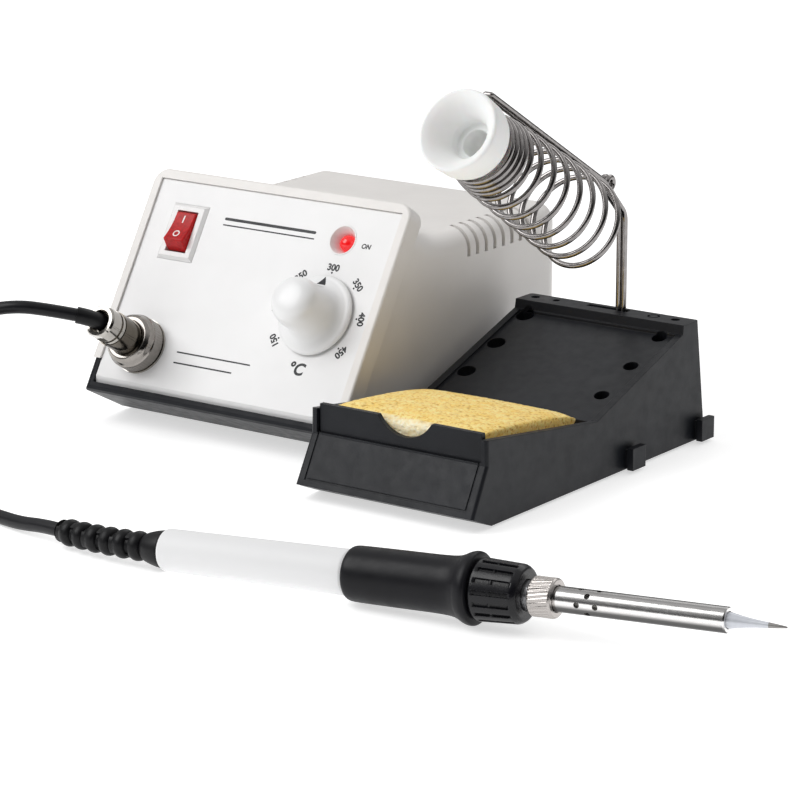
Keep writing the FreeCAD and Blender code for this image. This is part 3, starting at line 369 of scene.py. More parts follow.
def metal(name, colour, rough, brush=(1.0, 1.0, 1.0), turn=(0, 0, 0), depth=0.004, spread=0.08, **more):
    """A bright metal with brush marks: brush is the marks' waves per millimetre along each axis."""
    shader = Shader(name)
    marks = shader.noise(brush, 4.0, turn)
    tone = shader.ramp(marks, 0.3, 0.7, 0.0, 1.0)
    shader.link(shader.mix(tone, shade(colour, 1 - spread), shade(colour, 1 + spread)),
                shader.bsdf.inputs["Base Color"])
    shader.link(shader.ramp(marks, 0.3, 0.7, rough * 0.7, rough * 1.4), shader.bsdf.inputs["Roughness"])
    shader.bump(marks, depth)
    shader.set(metal=1.0, **more)
    return shader


def tempered_steel():
    """The barrel's brushed steel, with painted reflection: bands of light and dark painted into its colour by the
    way its surface faces.
    """
    shader = metal("barrel_steel", (0.92, 0.905, 0.895), 0.18, (0.03, 5.0, 5.0), turn=(0, 0, -0.12), depth=0.003,
                   spread=0.08)
    # Painted reflection: light and dark bands chosen by the way the surface faces, multiplied into the steel's
    # colour.
    geometry = shader.add("ShaderNodeNewGeometry")
    split = shader.add("ShaderNodeSeparateXYZ")
    shader.link(geometry.outputs["Normal"], split.inputs["Vector"])
    painted_reflection_bands = shader.add("ShaderNodeValToRGB")
    shader.link(shader.ramp(split.outputs["Z"], -1.0, 1.0, 0.0, 1.0), painted_reflection_bands.inputs["Fac"])
    stops = [(0.0, 0.05), (0.16, 0.07), (0.31, 0.15), (0.44, 0.85), (0.55, 1.0), (0.65, 0.40), (0.77, 0.30),
             (0.87, 0.50), (0.93, 0.55), (1.0, 0.28)]
    while len(painted_reflection_bands.color_ramp.elements) < len(stops):
        painted_reflection_bands.color_ramp.elements.new(0.5)
    for element, (position, value) in zip(painted_reflection_bands.color_ramp.elements, stops):
        element.position = position
        element.color = (value, value, value, 1)
    tone = shader.bsdf.inputs["Base Color"].links[0].from_socket
    mixed = shader.add("ShaderNodeMix", data_type="RGBA", blend_type="MULTIPLY")
    mixed.inputs["Factor"].default_value = 1.0
    shader.link(tone, mixed.inputs[6])
    shader.link(painted_reflection_bands.outputs["Color"], mixed.inputs[7])
    shader.link(mixed.outputs[2], shader.bsdf.inputs["Base Color"])


def sponge_material():
    """Cellulose sponge: golden and speckled on top, paler on its faces toward the front, full of small pores painted
    darker as painted shade, with a faint golden glow of painted light.
    """
    shader = Shader("sponge_yellow")
    cells = shader.add("ShaderNodeTexVoronoi", feature="F1")
    cells.inputs["Scale"].default_value = 1.0
    shader.link(shader.stretched((0.30, 0.55, 0.5), (0, 0, 0.5)), cells.inputs["Vector"])
    pores = shader.ramp(cells.outputs["Distance"], 0.08, 0.34, 0.0, 1.0)
    fibre = shader.noise(0.9, 6.0)
    patches = shader.ramp(shader.noise(0.16, 5.0), 0.35, 0.65, 0.0, 1.0)
    golden = shader.mix(patches, (0.95, 0.66, 0.17), (0.99, 0.80, 0.32))
    speckled = shader.mix(shader.ramp(fibre, 0.30, 0.52, 0.0, 1.0), (0.70, 0.40, 0.05), golden)
    # Painted shade: the pores are coloured darker, as if shade lay in them.
    hollow = shader.mix(pores, (0.62, 0.33, 0.03), speckled)
    up = shader.add("ShaderNodeSeparateXYZ")
    geometry = shader.add("ShaderNodeNewGeometry")
    shader.link(geometry.outputs["Normal"], up.inputs["Vector"])
    side = shader.ramp(up.outputs["Y"], -0.75, -0.35, 0.0, 1.0)
    cut = shader.mix(shader.ramp(fibre, 0.3, 0.7, 0.0, 1.0), (0.92, 0.78, 0.46), (0.99, 0.95, 0.76))
    shader.link(shader.mix(side, cut, hollow), shader.bsdf.inputs["Base Color"])
    height = shader.add("ShaderNodeMath", operation="ADD")
    shader.link(pores, height.inputs[0])
    shader.link(fibre, height.inputs[1])
    shader.bump(height.outputs[0], 0.35)
    # Painted light: a faint golden emission makes the sponge glow brighter than its lighting gives.
    shader.set(rough=0.92, sheen=0.15, subsurface=0.05, emission=0.09)
    shader.bsdf.inputs["Emission Color"].default_value = (0.95, 0.62, 0.18, 1)


def make_materials():
    """Every slot of the record, and the finishes of details that have no slot of their own."""
    plastic("housing_white", (0.80, 0.775, 0.75), 0.42, 0.02, grain=2.4, depth=0.02, edge=0.25)
    plastic("panel_white", (0.80, 0.795, 0.795), 0.33, 0.012, grain=1.2, depth=0.004, coat=0.15, coat_rough=0.25)
    plastic("shell_black", (0.009, 0.010, 0.013), 0.38, 0.15, grain=2.6, depth=0.02, edge=0.3, specular=0.12)
    plastic("stand_black", (0.010, 0.011, 0.014), 0.40, 0.2, grain=2.8, depth=0.02, edge=0.35, specular=0.22)
    plastic("rubber_black", (0.005, 0.005, 0.006), 0.40, 0.2, grain=3.5, depth=0.015, specular=0.22)
    plastic("grip_rubber", (0.006, 0.006, 0.008), 0.40, 0.2, grain=2.5, depth=0.012, specular=0.2)
    plastic("collar_black", (0.005, 0.005, 0.007), 0.26, 0.25, grain=2.0, depth=0.03, edge=0.15, specular=0.35)
    plastic("cord_black", (0.007, 0.007, 0.009), 0.36, 0.2, grain=1.8, depth=0.012, specular=0.25)
    plastic("tie_black", (0.01, 0.01, 0.01), 0.4, 0.2)
    plastic("switch_white", (0.80, 0.79, 0.785), 0.30, 0.015, depth=0.004, edge=0.12)
    plastic("knob_white", (0.86, 0.86, 0.86), 0.32, 0.002, patch=0.02, grain=0.3, depth=0.0005, coat=0.15, coat_rough=0.2)
    plastic("handle_white", (0.82, 0.82, 0.825), 0.45, 0.002, grain=0.3, depth=0.0005, specular=0.3)
    plastic("funnel_white", (0.90, 0.90, 0.89), 0.6, 0.02, patch=0.12, grain=3.0, depth=0.015, subsurface=0.08)
    plastic("ceramic_white", (0.80, 0.78, 0.74), 0.5, 0.05)
    plastic("spacer_white", (0.8, 0.8, 0.78), 0.4, 0.03)
    plastic("winding_brown", (0.42, 0.26, 0.06), 0.45, 0.2, patch=0.4)
    plastic("board_green", (0.02, 0.13, 0.05), 0.35, 0.25, patch=0.3, coat=0.3)
    plastic("component_black", (0.02, 0.02, 0.022), 0.4, 0.2)
    plastic("print_grey", (0.012, 0.013, 0.016), 0.5, 0.15, depth=0.002)
    plastic("print_white", (0.85, 0.78, 0.77), 0.45, 0.03, depth=0.002)
    rocker = plastic("rocker_red", (0.42, 0.004, 0.007), 0.34, 0.3, patch=0.9, depth=0.004, emission=0.06,
                     transmission=0.1, specular=0.25)
    rocker.bsdf.inputs["Emission Color"].default_value = (0.9, 0.03, 0.02, 1)
    lamp = plastic("led_red", (0.34, 0.001, 0.002), 0.10, 0.1, depth=0.001, coat=0.5, coat_rough=0.04, emission=0.7)
    lamp.bsdf.inputs["Emission Color"].default_value = (0.9, 0.012, 0.015, 1)
    plastic("fuse_glass", (0.85, 0.88, 0.88), 0.06, 0.02, depth=0.001, transmission=0.9)
    metal("chrome_metal", (0.46, 0.44, 0.41), 0.10, (0.7, 0.7, 0.7), depth=0.001)
    metal("chrome_shaded", (0.30, 0.28, 0.26), 0.14, (0.7, 0.7, 0.7), depth=0.001)
    # Painted shade: a darker copy of the chrome, for the plug's shell.
    metal("chrome_painted_shade", (0.13, 0.115, 0.095), 0.12, (0.7, 0.7, 0.7), depth=0.001)
    metal("wire_steel", (0.29, 0.275, 0.27), 0.15, (0.5, 0.5, 0.5), depth=0.003, spread=0.15)
    tempered_steel()
    metal("nut_nickel", (0.50, 0.47, 0.45), 0.30, (2.0, 2.0, 2.0), depth=0.01)
    metal("tip_dark", (0.30, 0.29, 0.28), 0.34, (1.5, 1.5, 1.5), depth=0.01)
    metal("screw_steel", (0.55, 0.55, 0.56), 0.28, (2.0, 2.0, 2.0))
    metal("metal_grey", (0.48, 0.48, 0.49), 0.32, (1.5, 1.5, 1.5))
    metal("core_iron", (0.16, 0.16, 0.17), 0.5, (0.2, 6.0, 0.2), depth=0.03)
    plastic("tip_plated", (0.66, 0.68, 0.73), 0.34, 0.05, patch=0.3, grain=3.0, depth=0.006, metal=0.3)
    sponge_material()


# Nodes given a darker copy of their slot's metal, as painted shade
PAINTED_SHADE_FINISH = {"plug_shell": "chrome_painted_shade"}


def finish_cad_nodes():
    """Each CAD node that stays gets the finish of its slot, and the plug's shell a darker copy of it as painted
    shade.
    """
    for row in frame["record"]["subparts"]:
        node = NODES[row["node"]]
        node.data.materials.clear()
        node.data.materials.append(MATERIALS[PAINTED_SHADE_FINISH.get(row["node"], row["material_slot"])])


# ---------------------------------------------------------------- cord

# The route's points are listed, and are the CAD tube's.
IRON_ROUTE = [(14.5, -120.4, 3.1), (2.0, -117.3, 2.4), (-13.0, -114.2, 2.4), (-30.0, -112.6, 2.4),
              (-47.5, -112.4, 2.4), (-67.0, -113.2, 2.4)]
PLUG_ROUTE = [(-61.0, -36.3, 50.7), (-74.0, -41.0, 47.7), (-87.0, -45.0, 40.5), (-99.0, -50.5, 31.0),
              (-108.5, -58.5, 21.5), (-113.8, -69.5, 14.2), (-115.2, -82.0, 12.0)]


def coil_points():
    """Two layers of three turns each, wound inwards and out again. The last turn climbs over its own start."""
    per_turn = 16
    levels = COIL_TURNS + [(31.2, 12.0), (31.2, 12.0)]
    points = []
    for step in range(1, per_turn * 6 + 3):
        turn, part = divmod(step / per_turn, 1.0)
        t = min(max((part - 0.75) / 0.25, 0.0), 1.0)
        t = t * t * (3 - 2 * t)
        (r0, z0), (r1, z1) = levels[int(turn)], levels[int(turn) + 1]
        radius, z = r0 + (r1 - r0) * t, z0 + (z1 - z0) * t
        angle = -math.pi / 2 - 2 * math.pi * step / per_turn
        points.append(at(COIL_AT[0] + radius * math.cos(angle), COIL_AT[1] + radius * math.sin(angle), z))
    return points


def sleeve_end():
    """Where the cord leaves the sleeve in the plug, and the way it points there."""
    start = SOCKET @ Vector((0, 0, 23.0))
    out = Vector(RING["axis"])
    way = Vector((-0.744, -0.635, 0.21)).normalized()
    turn = out.angle(way)
    across = (way - out * out.dot(way)).normalized()
    return start + (out * math.sin(turn) + across * (1 - math.cos(turn))) * 15.0 * MM, way


def cord_line():
    """The cord's centre line: one open NURBS spline through the whole route."""
    boot = boot_frame(BOOT_LENGTH)
    exit_point = boot.translation.copy()
    exit_way = -boot.col[2].to_3d().normalized()
    plug_point, plug_way = sleeve_end()
    points = [exit_point, exit_point + exit_way * 9 * MM] + [at(*p) for p in IRON_ROUTE] + coil_points()
    points += [at(*p) for p in reversed(PLUG_ROUTE)] + [plug_point + plug_way * 9 * MM, plug_point]
    curve = bpy.data.curves.new("cord_line", "CURVE")
    curve.dimensions = "3D"
    curve.resolution_u = 8
    spline = curve.splines.new("NURBS")
    spline.points.add(len(points) - 1)
    for slot, point in zip(spline.points, points):
        slot.co = (*point, 1)
    spline.order_u = 3
    spline.use_endpoint_u = True
    line = bpy.data.objects.new("cord_line", curve)
    bpy.context.scene.collection.objects.link(line)
    bpy.context.view_layer.update()
    mesh = bpy.data.meshes.new_from_object(line.evaluated_get(bpy.context.evaluated_depsgraph_get()))
    centre = [v.co.copy() for v in mesh.vertices]
    bpy.data.objects.remove(line)
    return exit_point, centre


def make_cord():
    """The iron's lead, as one tube along its whole route."""
    exit_point, centre = cord_line()
    cord = tube("iron_cord", centre, CORD_D / 2 * MM)
    cord.data.materials.append(MATERIALS["cord_black"])
    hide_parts("cord_iron_run", "cord_coil", "cord_plug_run")
    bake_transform(cord)
    return cord, exit_point, centre


# ---------------------------------------------------------------- panel details

def make_text(name, words, size, where, bold=0.0, shear=0.0):
    """A thin printed label, centred on where."""
    curve = bpy.data.curves.new(name, "FONT")
    curve.body = words
    curve.size = size
    curve.align_x = "CENTER"
    curve.align_y = "CENTER"
    curve.extrude = 0.015
    curve.offset = bold
    curve.shear = shear
    source = bpy.data.objects.new(name + "_source", curve)
    bpy.context.scene.collection.objects.link(source)
    bpy.context.view_layer.update()
    mesh = bpy.data.meshes.new_from_object(source.evaluated_get(bpy.context.evaluated_depsgraph_get()))
    bpy.data.objects.remove(source)
    verts = [where @ v.co for v in mesh.vertices]
    faces = [tuple(p.vertices) for p in mesh.polygons]
    return add_mesh(name, verts, faces)


def make_bar(name, x, y, width, height, where=PANEL):
    """A plain printed line with rounded ends."""
    radius = height / 2
    outline = []
    for side in (1, -1):
        for step in range(9):
            angle = side * (-math.pi / 2 + math.pi * step / 8) if side > 0 else math.pi / 2 + math.pi * step / 8
            centre = side * (width / 2 - radius)
            outline.append((x + centre + radius * math.cos(angle), y + radius * math.sin(angle)))
    return prism(name, outline, 0.02, 0.05, where)


def make_dial():
    """The dial's numbers, turned round the knob, a dot for each, and the panel's other print."""
    step = 42.5
    ring = moved(DIAL, 0.2, -0.2)
    for i, number in enumerate(range(150, 451, 50)):
        angle = math.radians((i - 3) * step)
        spoke = moved(ring, 18.8 * math.sin(angle), 18.8 * math.cos(angle), 0.04) @ Matrix.Rotation(-angle, 4, "Z")
        dress(make_text(f"dial_number_{number}", str(number), 3.5, spoke, 0.13), "root", "print_grey", "panel_white")
        dot = moved(ring, 16.9 * math.sin(angle), 16.9 * math.cos(angle))
        outline = [(0.38 * math.cos(math.pi * k / 8), 0.38 * math.sin(math.pi * k / 8)) for k in range(16)]
        dress(prism(f"dial_dot_{number}", outline, 0.02, 0.06, dot), "root", "print_grey", "panel_white")
    unit = make_text("dial_unit", "°C", 6.3, moved(PANEL, 31.4, 15.9, 0.04), 0.2, 0.2)
    dress(unit, "root", "print_grey", "panel_white")
    lamp = make_text("lamp_label", "ON", 2.5, moved(PANEL, 44.0, 64.9, 0.04), 0.08, 0.15)
    dress(lamp, "root", "print_grey", "panel_white")
    bars = [(-0.2, 67.2, 42.0, 1.1), (-0.2, 64.8, 42.0, 0.5), (-5.5, 14.3, 34.0, 0.55), (-9.0, 10.2, 27.0, 0.55)]
    for i, (x, y, width, height) in enumerate(bars):
        dress(make_bar(f"panel_line_{i + 1}", x, y, width, height), "root", "print_grey", "panel_white")


KNOB_OUTLINE = [(0.0, 20.6), (3.4, 20.4), (6.2, 19.6), (8.2, 17.9), (9.1, 15.4), (9.4, 12.0), (9.5, 8.4),
                (9.9, 5.4), (11.0, 3.7), (12.9, 2.75), (14.4, 2.3), (15.1, 1.8), (15.3, 1.2), (15.05, 0.75),
                (6.6, 0.75)]


def make_knob():
    """A round grip that flows into a wide skirt, and an arrow on the skirt."""
    line = smooth(KNOB_OUTLINE[:-1], 6) + [Vector(KNOB_OUTLINE[-1]), Vector((0, 0.9))]
    dress(lathe("temperature_dial_knob", line, DIAL, 128), "knob", "knob_white", "knob_white", "temperature_knob")
    surface = smooth(KNOB_OUTLINE[:-1], 6)

    def height(radius):
        near = [p for p in surface if p.x <= radius]
        low = near[-1]
        high = surface[len(near)]
        return low.y + (high.y - low.y) * (radius - low.x) / max(high.x - low.x, 1e-6)

    rows = 8
    verts = []
    for i in range(rows + 1):
        radius = 10.7 + 3.5 * i / rows
        half = 1.9 * (1 - i / rows) + 0.02
        for x in (-half, 0, half):
            for lift in (0.05, -0.15):
                verts.append(DIAL @ Vector((x, radius, height(math.hypot(x, radius)) + lift)))
    faces = []
    for i in range(rows):
        a, b = i * 6, i * 6 + 6
        faces += [(a, a + 2, b + 2, b), (a + 2, a + 4, b + 4, b + 2), (a + 1, b + 1, b + 3, a + 3),
                  (a + 3, b + 3, b + 5, a + 5), (a, b, b + 1, a + 1), (a + 4, a + 5, b + 5, b + 4)]
    faces += [(0, 1, 3, 2), (2, 3, 5, 4)]
    last = rows * 6
    faces += [(last, last + 2, last + 3, last + 1), (last + 2, last + 4, last + 5, last + 3)]
    dress(add_mesh("knob_arrow", verts, faces), "knob", "print_grey", "knob_white")


def make_rocker():
    """The lit paddle, pressed at its upper end, with its I and O."""
    tilt = Matrix.Rotation(math.radians(-ROCKER_TILT), 4, "X")
    pivot = moved(PANEL, *ROCKER_AT, -2.0) @ tilt
    side = pivot @ Matrix(((0, 0, 1, 0), (1, 0, 0, 0), (0, 1, 0, 0), (0, 0, 0, 1)))
    crest = [(-6.1, 5.7), (-4.4, 5.35), (-2.4, 5.1), (0, 5.0), (2.4, 5.1), (4.4, 5.35), (6.1, 5.7)]
    outline = [(-7.6, -0.2), (-7.1, 2.6)] + crest + [(7.1, 2.6), (7.6, -0.2), (2.2, -4.0), (-2.2, -4.0)]
    paddle = prism("rocker_lens", outline, -4.5, 4.5, side, 0.5)
    dress(paddle, "rocker", "rocker_red", "rocker_red", "rocker_paddle")
    upper = moved(pivot, 0, 3.3, 5.19) @ Matrix.Rotation(0.13, 4, "X")
    lower = moved(pivot, 0, -3.1, 5.16) @ Matrix.Rotation(-0.12, 4, "X")
    bar = [(-0.28, -1.5), (0.28, -1.5), (0.28, 1.5), (-0.28, 1.5)]
    dress(prism("rocker_mark_on", bar, -0.3, 0.08, upper), "rocker", "print_white", "rocker_red")
    ring = [(1.45, -0.3), (1.45, 0.08), (0.95, 0.08), (0.95, -0.3)]
    dress(lathe("rocker_mark_off", ring, lower, 40, closed=True), "rocker", "print_white", "rocker_red")


def make_lamp():
    """A domed lens deep in its cone."""
    dome = [(3.1 * math.sin(a / 12 * math.pi / 2), 2.8 * math.cos(a / 12 * math.pi / 2)) for a in range(13)]
    line = dome + [(3.1, -3.2), (3.1, -4.2), (0.0, -4.2)]
    dress(lathe("lamp_lens", line, moved(PANEL, *LED_AT, -3.8), 48), "root", "led_red", "led_red", "indicator_led")


def make_coupling_ring():
    """The plug's ring: straight knurling near the panel and a polished shoulder."""
    outer = rounded([(8.05, 1.0), (10.0, 1.0), (10.4, 1.45), (10.4, 6.0), (10.0, 6.45), (9.4, 8.6), (8.2, 9.8),
                     (6.65, 9.8), (6.65, 8.0), (7.4, 8.0), (7.4, 5.6), (8.05, 5.6)], 0.3, 3, closed=True)
    line = sampled(outer + [outer[0]], 0.5)[:-1]

    def knurl(radius, along, angle):
        ridge = 0.16 * (0.5 + 0.5 * math.cos(angle * 60)) if radius > 10.3 and 1.5 < along < 5.95 else 0.0
        return radius - ridge

    ring = lathe("plug_ring", line, SOCKET, 360, knurl, closed=True)
    return dress(ring, "coupling_ring", "chrome_shaded", "chrome_metal", "plug_coupling_ring")


# ---------------------------------------------------------------- holder and sponge

def make_funnel():
    """The white mouth of the holder: a wide dished rim, a step and a throat."""
    face = smooth([(14.3, 0.25), (13.6, 0.4), (11.6, 1.8), (9.4, 4.6), (7.9, 7.4), (7.3, 9.2)], 5)
    throat = rounded([(7.3, 9.2), (7.2, 9.6), (7.2, 13.0), (4.9, 13.0), (4.9, 26.0), (10.4, 26.0), (10.4, 13.4),
                      (12.4, 13.4), (13.6, 12.4), (14.6, 9.6), (15.1, 1.6), (14.9, 0.5), (14.3, 0.25)], 0.7, 4)
    dress(lathe("holder_mouth", face + throat[1:-1], HOLDER, 128, closed=True), "holder", "funnel_white",
          "funnel_white", "holder_funnel")


def make_sponge():
    """A damp block: crowned, soft at its edges, and pitted all over."""
    low, high = (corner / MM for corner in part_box("sponge"))
    home = HOME / MM
    front, back = low.y - home.y, high.y - home.y
    crown = smooth([(front, 31.0), (front + 3, 32.7), (-16.0, 32.8), (-4.0, 32.0), (17.0, 29.8), (back - 4, 27.2),
                    (back, 25.6)], 4)

    def top(y):
        for a, b in zip(crown, crown[1:]):
            if a.x <= y <= b.x:
                return a.y + (b.y - a.y) * (y - a.x) / (b.x - a.x)
        return crown[-1].y

    nx, ny, nz = 104, 96, 26
    middle = Vector(((low.x + high.x) / 2, (low.y + high.y) / 2, 0))
    half = Vector(((high.x - low.x) / 2 - 0.5, (high.y - low.y) / 2 - 0.5, 0))
    work = bmesh.new()
    bmesh.ops.create_cube(work, size=2.0)
    bmesh.ops.delete(work, geom=list(work.verts), context="VERTS")
    index = {}

    def vertex(i, j, k):
        if (i, j, k) not in index:
            u, v, w = 2 * i / nx - 1, 2 * j / ny - 1, k / nz
            x = middle.x + half.x * u
            y = middle.y + half.y * v
            edge = max(abs(u), 0.0) ** 14 + max(abs(v), 0.0) ** 14
            lip = 1.1 * min(edge, 1.0) * w ** 3
            roof = top(y - home.y) - 0.5 - 0.5 * u * u - lip
            z = low.z + (roof - low.z) * w
            waist = 1 - 0.012 * math.sin(math.pi * w)
            x = middle.x + (x - middle.x) * waist
            y = middle.y + (y - middle.y) * waist
            point = Vector((x, y, z))
            pit = noise.voronoi(point * 0.62)[0][0]
            rough = noise.fractal(point * 0.9, 0.8, 2.0, 3) * 0.22
            inward = Vector((-u * (abs(u) ** 10), -v * (abs(v) ** 10), -(w ** 6)))
            point += inward * (max(0.0, 0.42 - pit) * 1.3 + rough * 0.5)
            index[(i, j, k)] = work.verts.new(point * MM)
        return index[(i, j, k)]

    for i in range(nx):
        for j in range(ny):
            for k in (0, nz):
                work.faces.new([vertex(i, j, k), vertex(i + 1, j, k), vertex(i + 1, j + 1, k), vertex(i, j + 1, k)])
    for k in range(nz):
        for i in range(nx):
            for j in (0, ny):
                work.faces.new([vertex(i, j, k), vertex(i + 1, j, k), vertex(i + 1, j, k + 1), vertex(i, j, k + 1)])
        for j in range(ny):
            for i in (0, nx):
                work.faces.new([vertex(i, j, k), vertex(i, j + 1, k), vertex(i, j + 1, k + 1), vertex(i, j, k + 1)])
    bmesh.ops.recalc_face_normals(work, faces=work.faces)
    mesh = bpy.data.meshes.new("cleaning_sponge")
    work.to_mesh(mesh)
    work.free()
    mesh.shade_smooth()
    obj = bpy.data.objects.new("cleaning_sponge", mesh)
    bpy.context.scene.collection.objects.link(obj)
    dress(obj, "sponge", "sponge_yellow", "sponge_yellow", "sponge")


# ---------------------------------------------------------------- iron

def make_handle():
    line = rounded([(5.2, 2.6), (6.35, 2.6), (6.95, 3.5), (7.45, 70.5), (7.1, 71.2), (7.1, 113.8), (5.2, 113.8)],
                   0.6, 4, closed=True)
    dress(lathe("handle_tube", line, IRON, 96, closed=True), "iron", "handle_white", "handle_white", "iron_handle")


def make_grip():
    """Soft rubber, nearly straight, with a rolled flange in front."""
    outer = smooth([(7.9, 71.6), (8.55, 72.3), (8.85, 73.7), (8.95, 76.9), (9.05, 88.0), (9.15, 103.0), (9.5, 108.8),
                    (10.3, 111.6), (11.0, 113.0), (11.45, 114.2), (11.62, 115.2), (11.45, 116.1), (10.9, 116.55)], 5)
    line = list(outer) + [Vector((7.25, 116.5)), Vector((7.25, 71.6))]
    dress(lathe("soft_grip", line, IRON, 128, closed=True), "iron", "grip_rubber", "grip_rubber", "grip_sleeve")


def make_boot():
    """A bent boot of rings, joined by short bridges that change sides at each gap."""
    pitch = (BOOT_LENGTH - 6.6) / BOOT_RIBS

    def swell(radius, along, angle):
        if along < 5.6:
            return radius
        turn, part = divmod((along - 5.6) / pitch, 1.0)
        ring = min(1.0, max(0.0, math.sin(math.pi * min(part / 0.74, 1.0))) ** 0.35) if part < 0.74 else 0.0
        side = angle + (math.pi / 2 if int(turn) % 2 else 0.0)
        bridge = 0.62 if abs(math.cos(side)) > 0.72 and part >= 0.70 else 0.0
        taper = 1.0 - 0.10 * (along - 5.6) / (BOOT_LENGTH - 5.6)
        return (3.1 + 1.9 * max(ring, bridge)) * taper

    flare = [(5.0, -2.4), (5.9, -2.45), (6.2, -2.1), (6.1, -1.1), (5.6, 1.4), (4.7, 4.2), (3.6, 5.6)]
    core = sampled([(3.6, 5.6), (3.6, BOOT_LENGTH - 0.7)], 0.3)
    line = smooth(flare, 4) + core[1:] + [Vector((2.45, BOOT_LENGTH - 0.2)), Vector((2.0, BOOT_LENGTH - 0.6))]
    boot = lathe("strain_boot", [(p[0], p[1]) for p in line], boot_frame, 96, swell_by(swell))
    dress(boot, "iron", "rubber_black", "rubber_black", "strain_relief")


def swell_by(swell):
    """Leaves the boot's two ends as their outline says."""
    def wave(radius, along, angle):
        return swell(radius, along, angle) if radius > 2.9 else radius
    return wave


def make_collar():
    """The black nut: sixteen ribs with narrow gaps, between a plain back edge and a rounded front."""
    outer = rounded([(7.5, 117.3), (9.75, 117.3), (9.95, 118.0), (9.35, 131.4), (8.3, 133.1), (4.7, 133.1),
                     (4.7, 127.5), (7.5, 127.5)], 0.7, 4, closed=True)
    line = sampled(outer + [outer[0]], 0.45)[:-1]

    def ribs(radius, along, angle):
        if radius < 8.9 or not 118.6 < along < 131.2:
            return radius
        fade = min(1.0, (along - 118.6) / 0.5, (131.2 - along) / 0.9)
        share = (angle * 16 / (2 * math.pi)) % 1.0
        gap = 1.0 if abs(share - 0.5) < 0.17 else 0.0
        middle = 0.55 if 123.6 < along < 124.8 else 1.0
        return radius - 0.85 * gap * max(fade, 0.0) * middle

    dress(lathe("collar_ring", line, IRON, 288, ribs, closed=True), "collar", "collar_black", "collar_black",
          "collar_nut")


def make_barrel_nut():
    """The knurled nut that holds the barrel."""
    outer = rounded([(4.7, 135.4), (5.95, 135.4), (6.3, 135.9), (6.3, 142.8), (5.9, 143.4), (4.25, 143.4),
                     (4.25, 142.95), (4.7, 142.95)], 0.25, 3, closed=True)
    line = sampled(outer + [outer[0]], 0.3)[:-1]

    def knurl(radius, along, angle):
        if radius < 6.2 or not 136.1 < along < 142.6:
            return radius
        ridge = math.sin(angle * 30 + (along - 136) * 0.9)
        return radius - 0.10 + 0.12 * ridge

    dress(lathe("knurled_nut", line, IRON, 300, knurl, closed=True), "barrel_nut", "nut_nickel", "nut_nickel",
          "barrel_nut")


def make_tip():
    """A plated cone, hollow at its flanks, with a bare dark point."""
    cone = smooth([(2.55, TUBE_END - 0.8), (2.5, TUBE_END + 0.6), (2.0, TUBE_END + 3.4), (1.5, TUBE_END + 6.6),
                   (1.15, TUBE_END + 9.8), (0.9, TUBE_END + 12.9)], 6)
    shank = [(0.0, 189.5), (2.4, 189.5), (2.55, 190.0)]
    line = [Vector(p) for p in shank] + cone + [Vector((0.0, TUBE_END + 12.9))]
    dress(lathe("tip_cone", line, IRON, 64), "barrel", "tip_plated", "tip_plated", "soldering_tip")
    point = [(0.0, TUBE_END + 12.6), (0.88, TUBE_END + 12.9), (0.62, TUBE_END + 15.6), (0.3, TIP_END - 0.4),
             (0.12, TIP_END - 0.05), (0.0, TIP_END)]
    dress(lathe("tip_point", point, IRON, 48), "barrel", "tip_dark", "tip_plated")


# ---------------------------------------------------------------- stage

def make_floor():
    shader = Shader("floor_white")
    tone = shader.ramp(shader.noise(0.004, 2.0), 0.3, 0.7, 0.0, 1.0)
    shader.link(shader.mix(tone, (0.72, 0.72, 0.72), (0.74, 0.74, 0.74)), shader.bsdf.inputs["Base Color"])
    shader.set(rough=0.9, specular=0.1, emission=0.6)
    shader.bsdf.inputs["Emission Color"].default_value = (1, 1, 1, 1)
    span = 8.0
    floor = add_mesh("floor", [(-span, -span, 0), (span, -span, 0), (span, span, 0), (-span, span, 0)],
                     [(0, 1, 2, 3)])
    floor.data.materials.append(MATERIALS["floor_white"])


def make_area_light(name, where, toward, size, power):
    light = bpy.data.lights.new(name, "AREA")
    light.shape = "RECTANGLE"
    light.size, light.size_y = size
    light.energy = power
    obj = bpy.data.objects.new(name, light)
    obj.location = at(*where)
    obj.rotation_mode = "QUATERNION"
    obj.rotation_quaternion = (at(*toward) - at(*where)).to_track_quat("-Z", "Y")
    bpy.context.scene.collection.objects.link(obj)


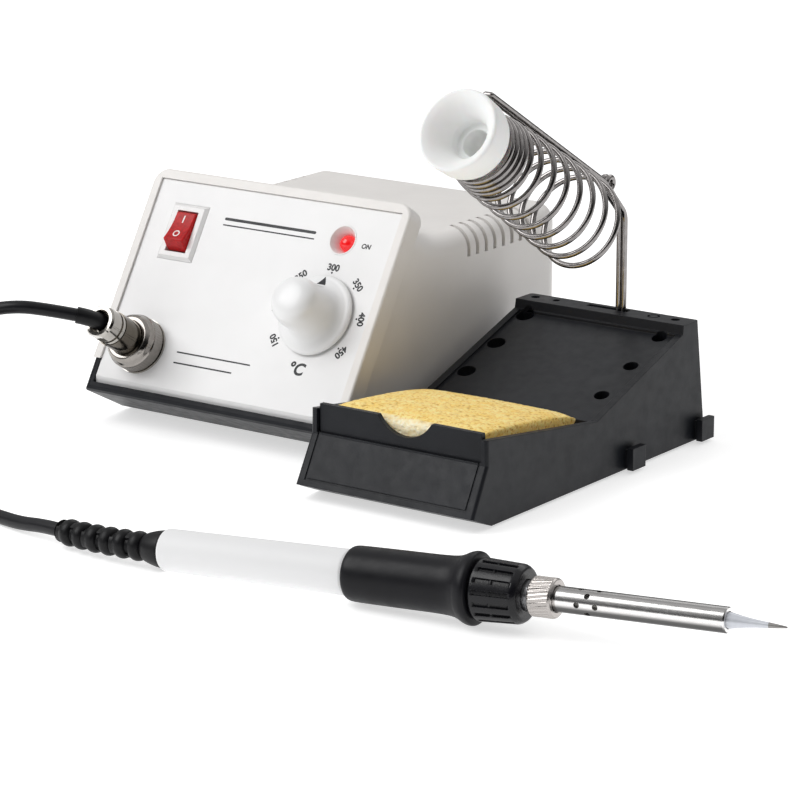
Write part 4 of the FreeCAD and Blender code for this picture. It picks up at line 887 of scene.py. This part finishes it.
def make_world():
    """A pale room, darker near its horizon and on its right, so that polished metal has something to reflect."""
    world = bpy.data.worlds.new("room")
    world.use_nodes = True
    tree = world.node_tree
    coords = tree.nodes.new("ShaderNodeTexCoord")
    split = tree.nodes.new("ShaderNodeSeparateXYZ")
    height = tree.nodes.new("ShaderNodeValToRGB")
    tree.links.new(coords.outputs["Generated"], split.inputs["Vector"])
    tree.links.new(split.outputs["Z"], height.inputs["Fac"])
    stops = [(0.0, 0.55), (0.07, 0.22), (0.25, 0.40), (0.55, 1.0), (1.0, 1.0)]
    while len(height.color_ramp.elements) < len(stops):
        height.color_ramp.elements.new(0.5)
    for element, (position, value) in zip(height.color_ramp.elements, stops):
        element.position = position
        element.color = (value, value, value, 1)
    toward = tree.nodes.new("ShaderNodeVectorMath")
    toward.operation = "DOT_PRODUCT"
    toward.inputs[1].default_value = (0.70, -0.70, 0.0)
    tree.links.new(coords.outputs["Generated"], toward.inputs[0])
    shadow = tree.nodes.new("ShaderNodeMapRange")
    shadow.interpolation_type = "SMOOTHSTEP"
    for key, value in (("From Min", 0.35), ("From Max", 0.88), ("To Min", 1.0), ("To Max", 0.04)):
        shadow.inputs[key].default_value = value
    tree.links.new(toward.outputs["Value"], shadow.inputs["Value"])
    both = tree.nodes.new("ShaderNodeMix")
    both.data_type = "RGBA"
    both.blend_type = "MULTIPLY"
    both.inputs["Factor"].default_value = 1.0
    tree.links.new(height.outputs["Color"], both.inputs[6])
    tree.links.new(shadow.outputs["Result"], both.inputs[7])
    tree.links.new(both.outputs[2], tree.nodes["Background"].inputs["Color"])
    tree.nodes["Background"].inputs["Strength"].default_value = 0.66
    bpy.context.scene.world = world


def make_lights():
    make_area_light("key", (-480, -640, 820), (10, 20, 30), (0.8, 0.8), 7.4)
    make_area_light("back", (60, 820, 860), (60, 40, 30), (1.2, 0.6), 2.2)


# ---------------------------------------------------------------- everything

make_camera()
make_materials()
finish_cad_nodes()
cord, cord_exit, cord_centre = make_cord()
make_dial()
make_knob()
make_rocker()
make_lamp()
plug_ring = make_coupling_ring()
make_funnel()
make_sponge()
make_handle()
make_grip()
make_boot()
make_collar()
make_barrel_nut()
make_tip()
make_floor()
make_world()
make_lights()
bpy.context.scene.view_settings.view_transform = "Standard"
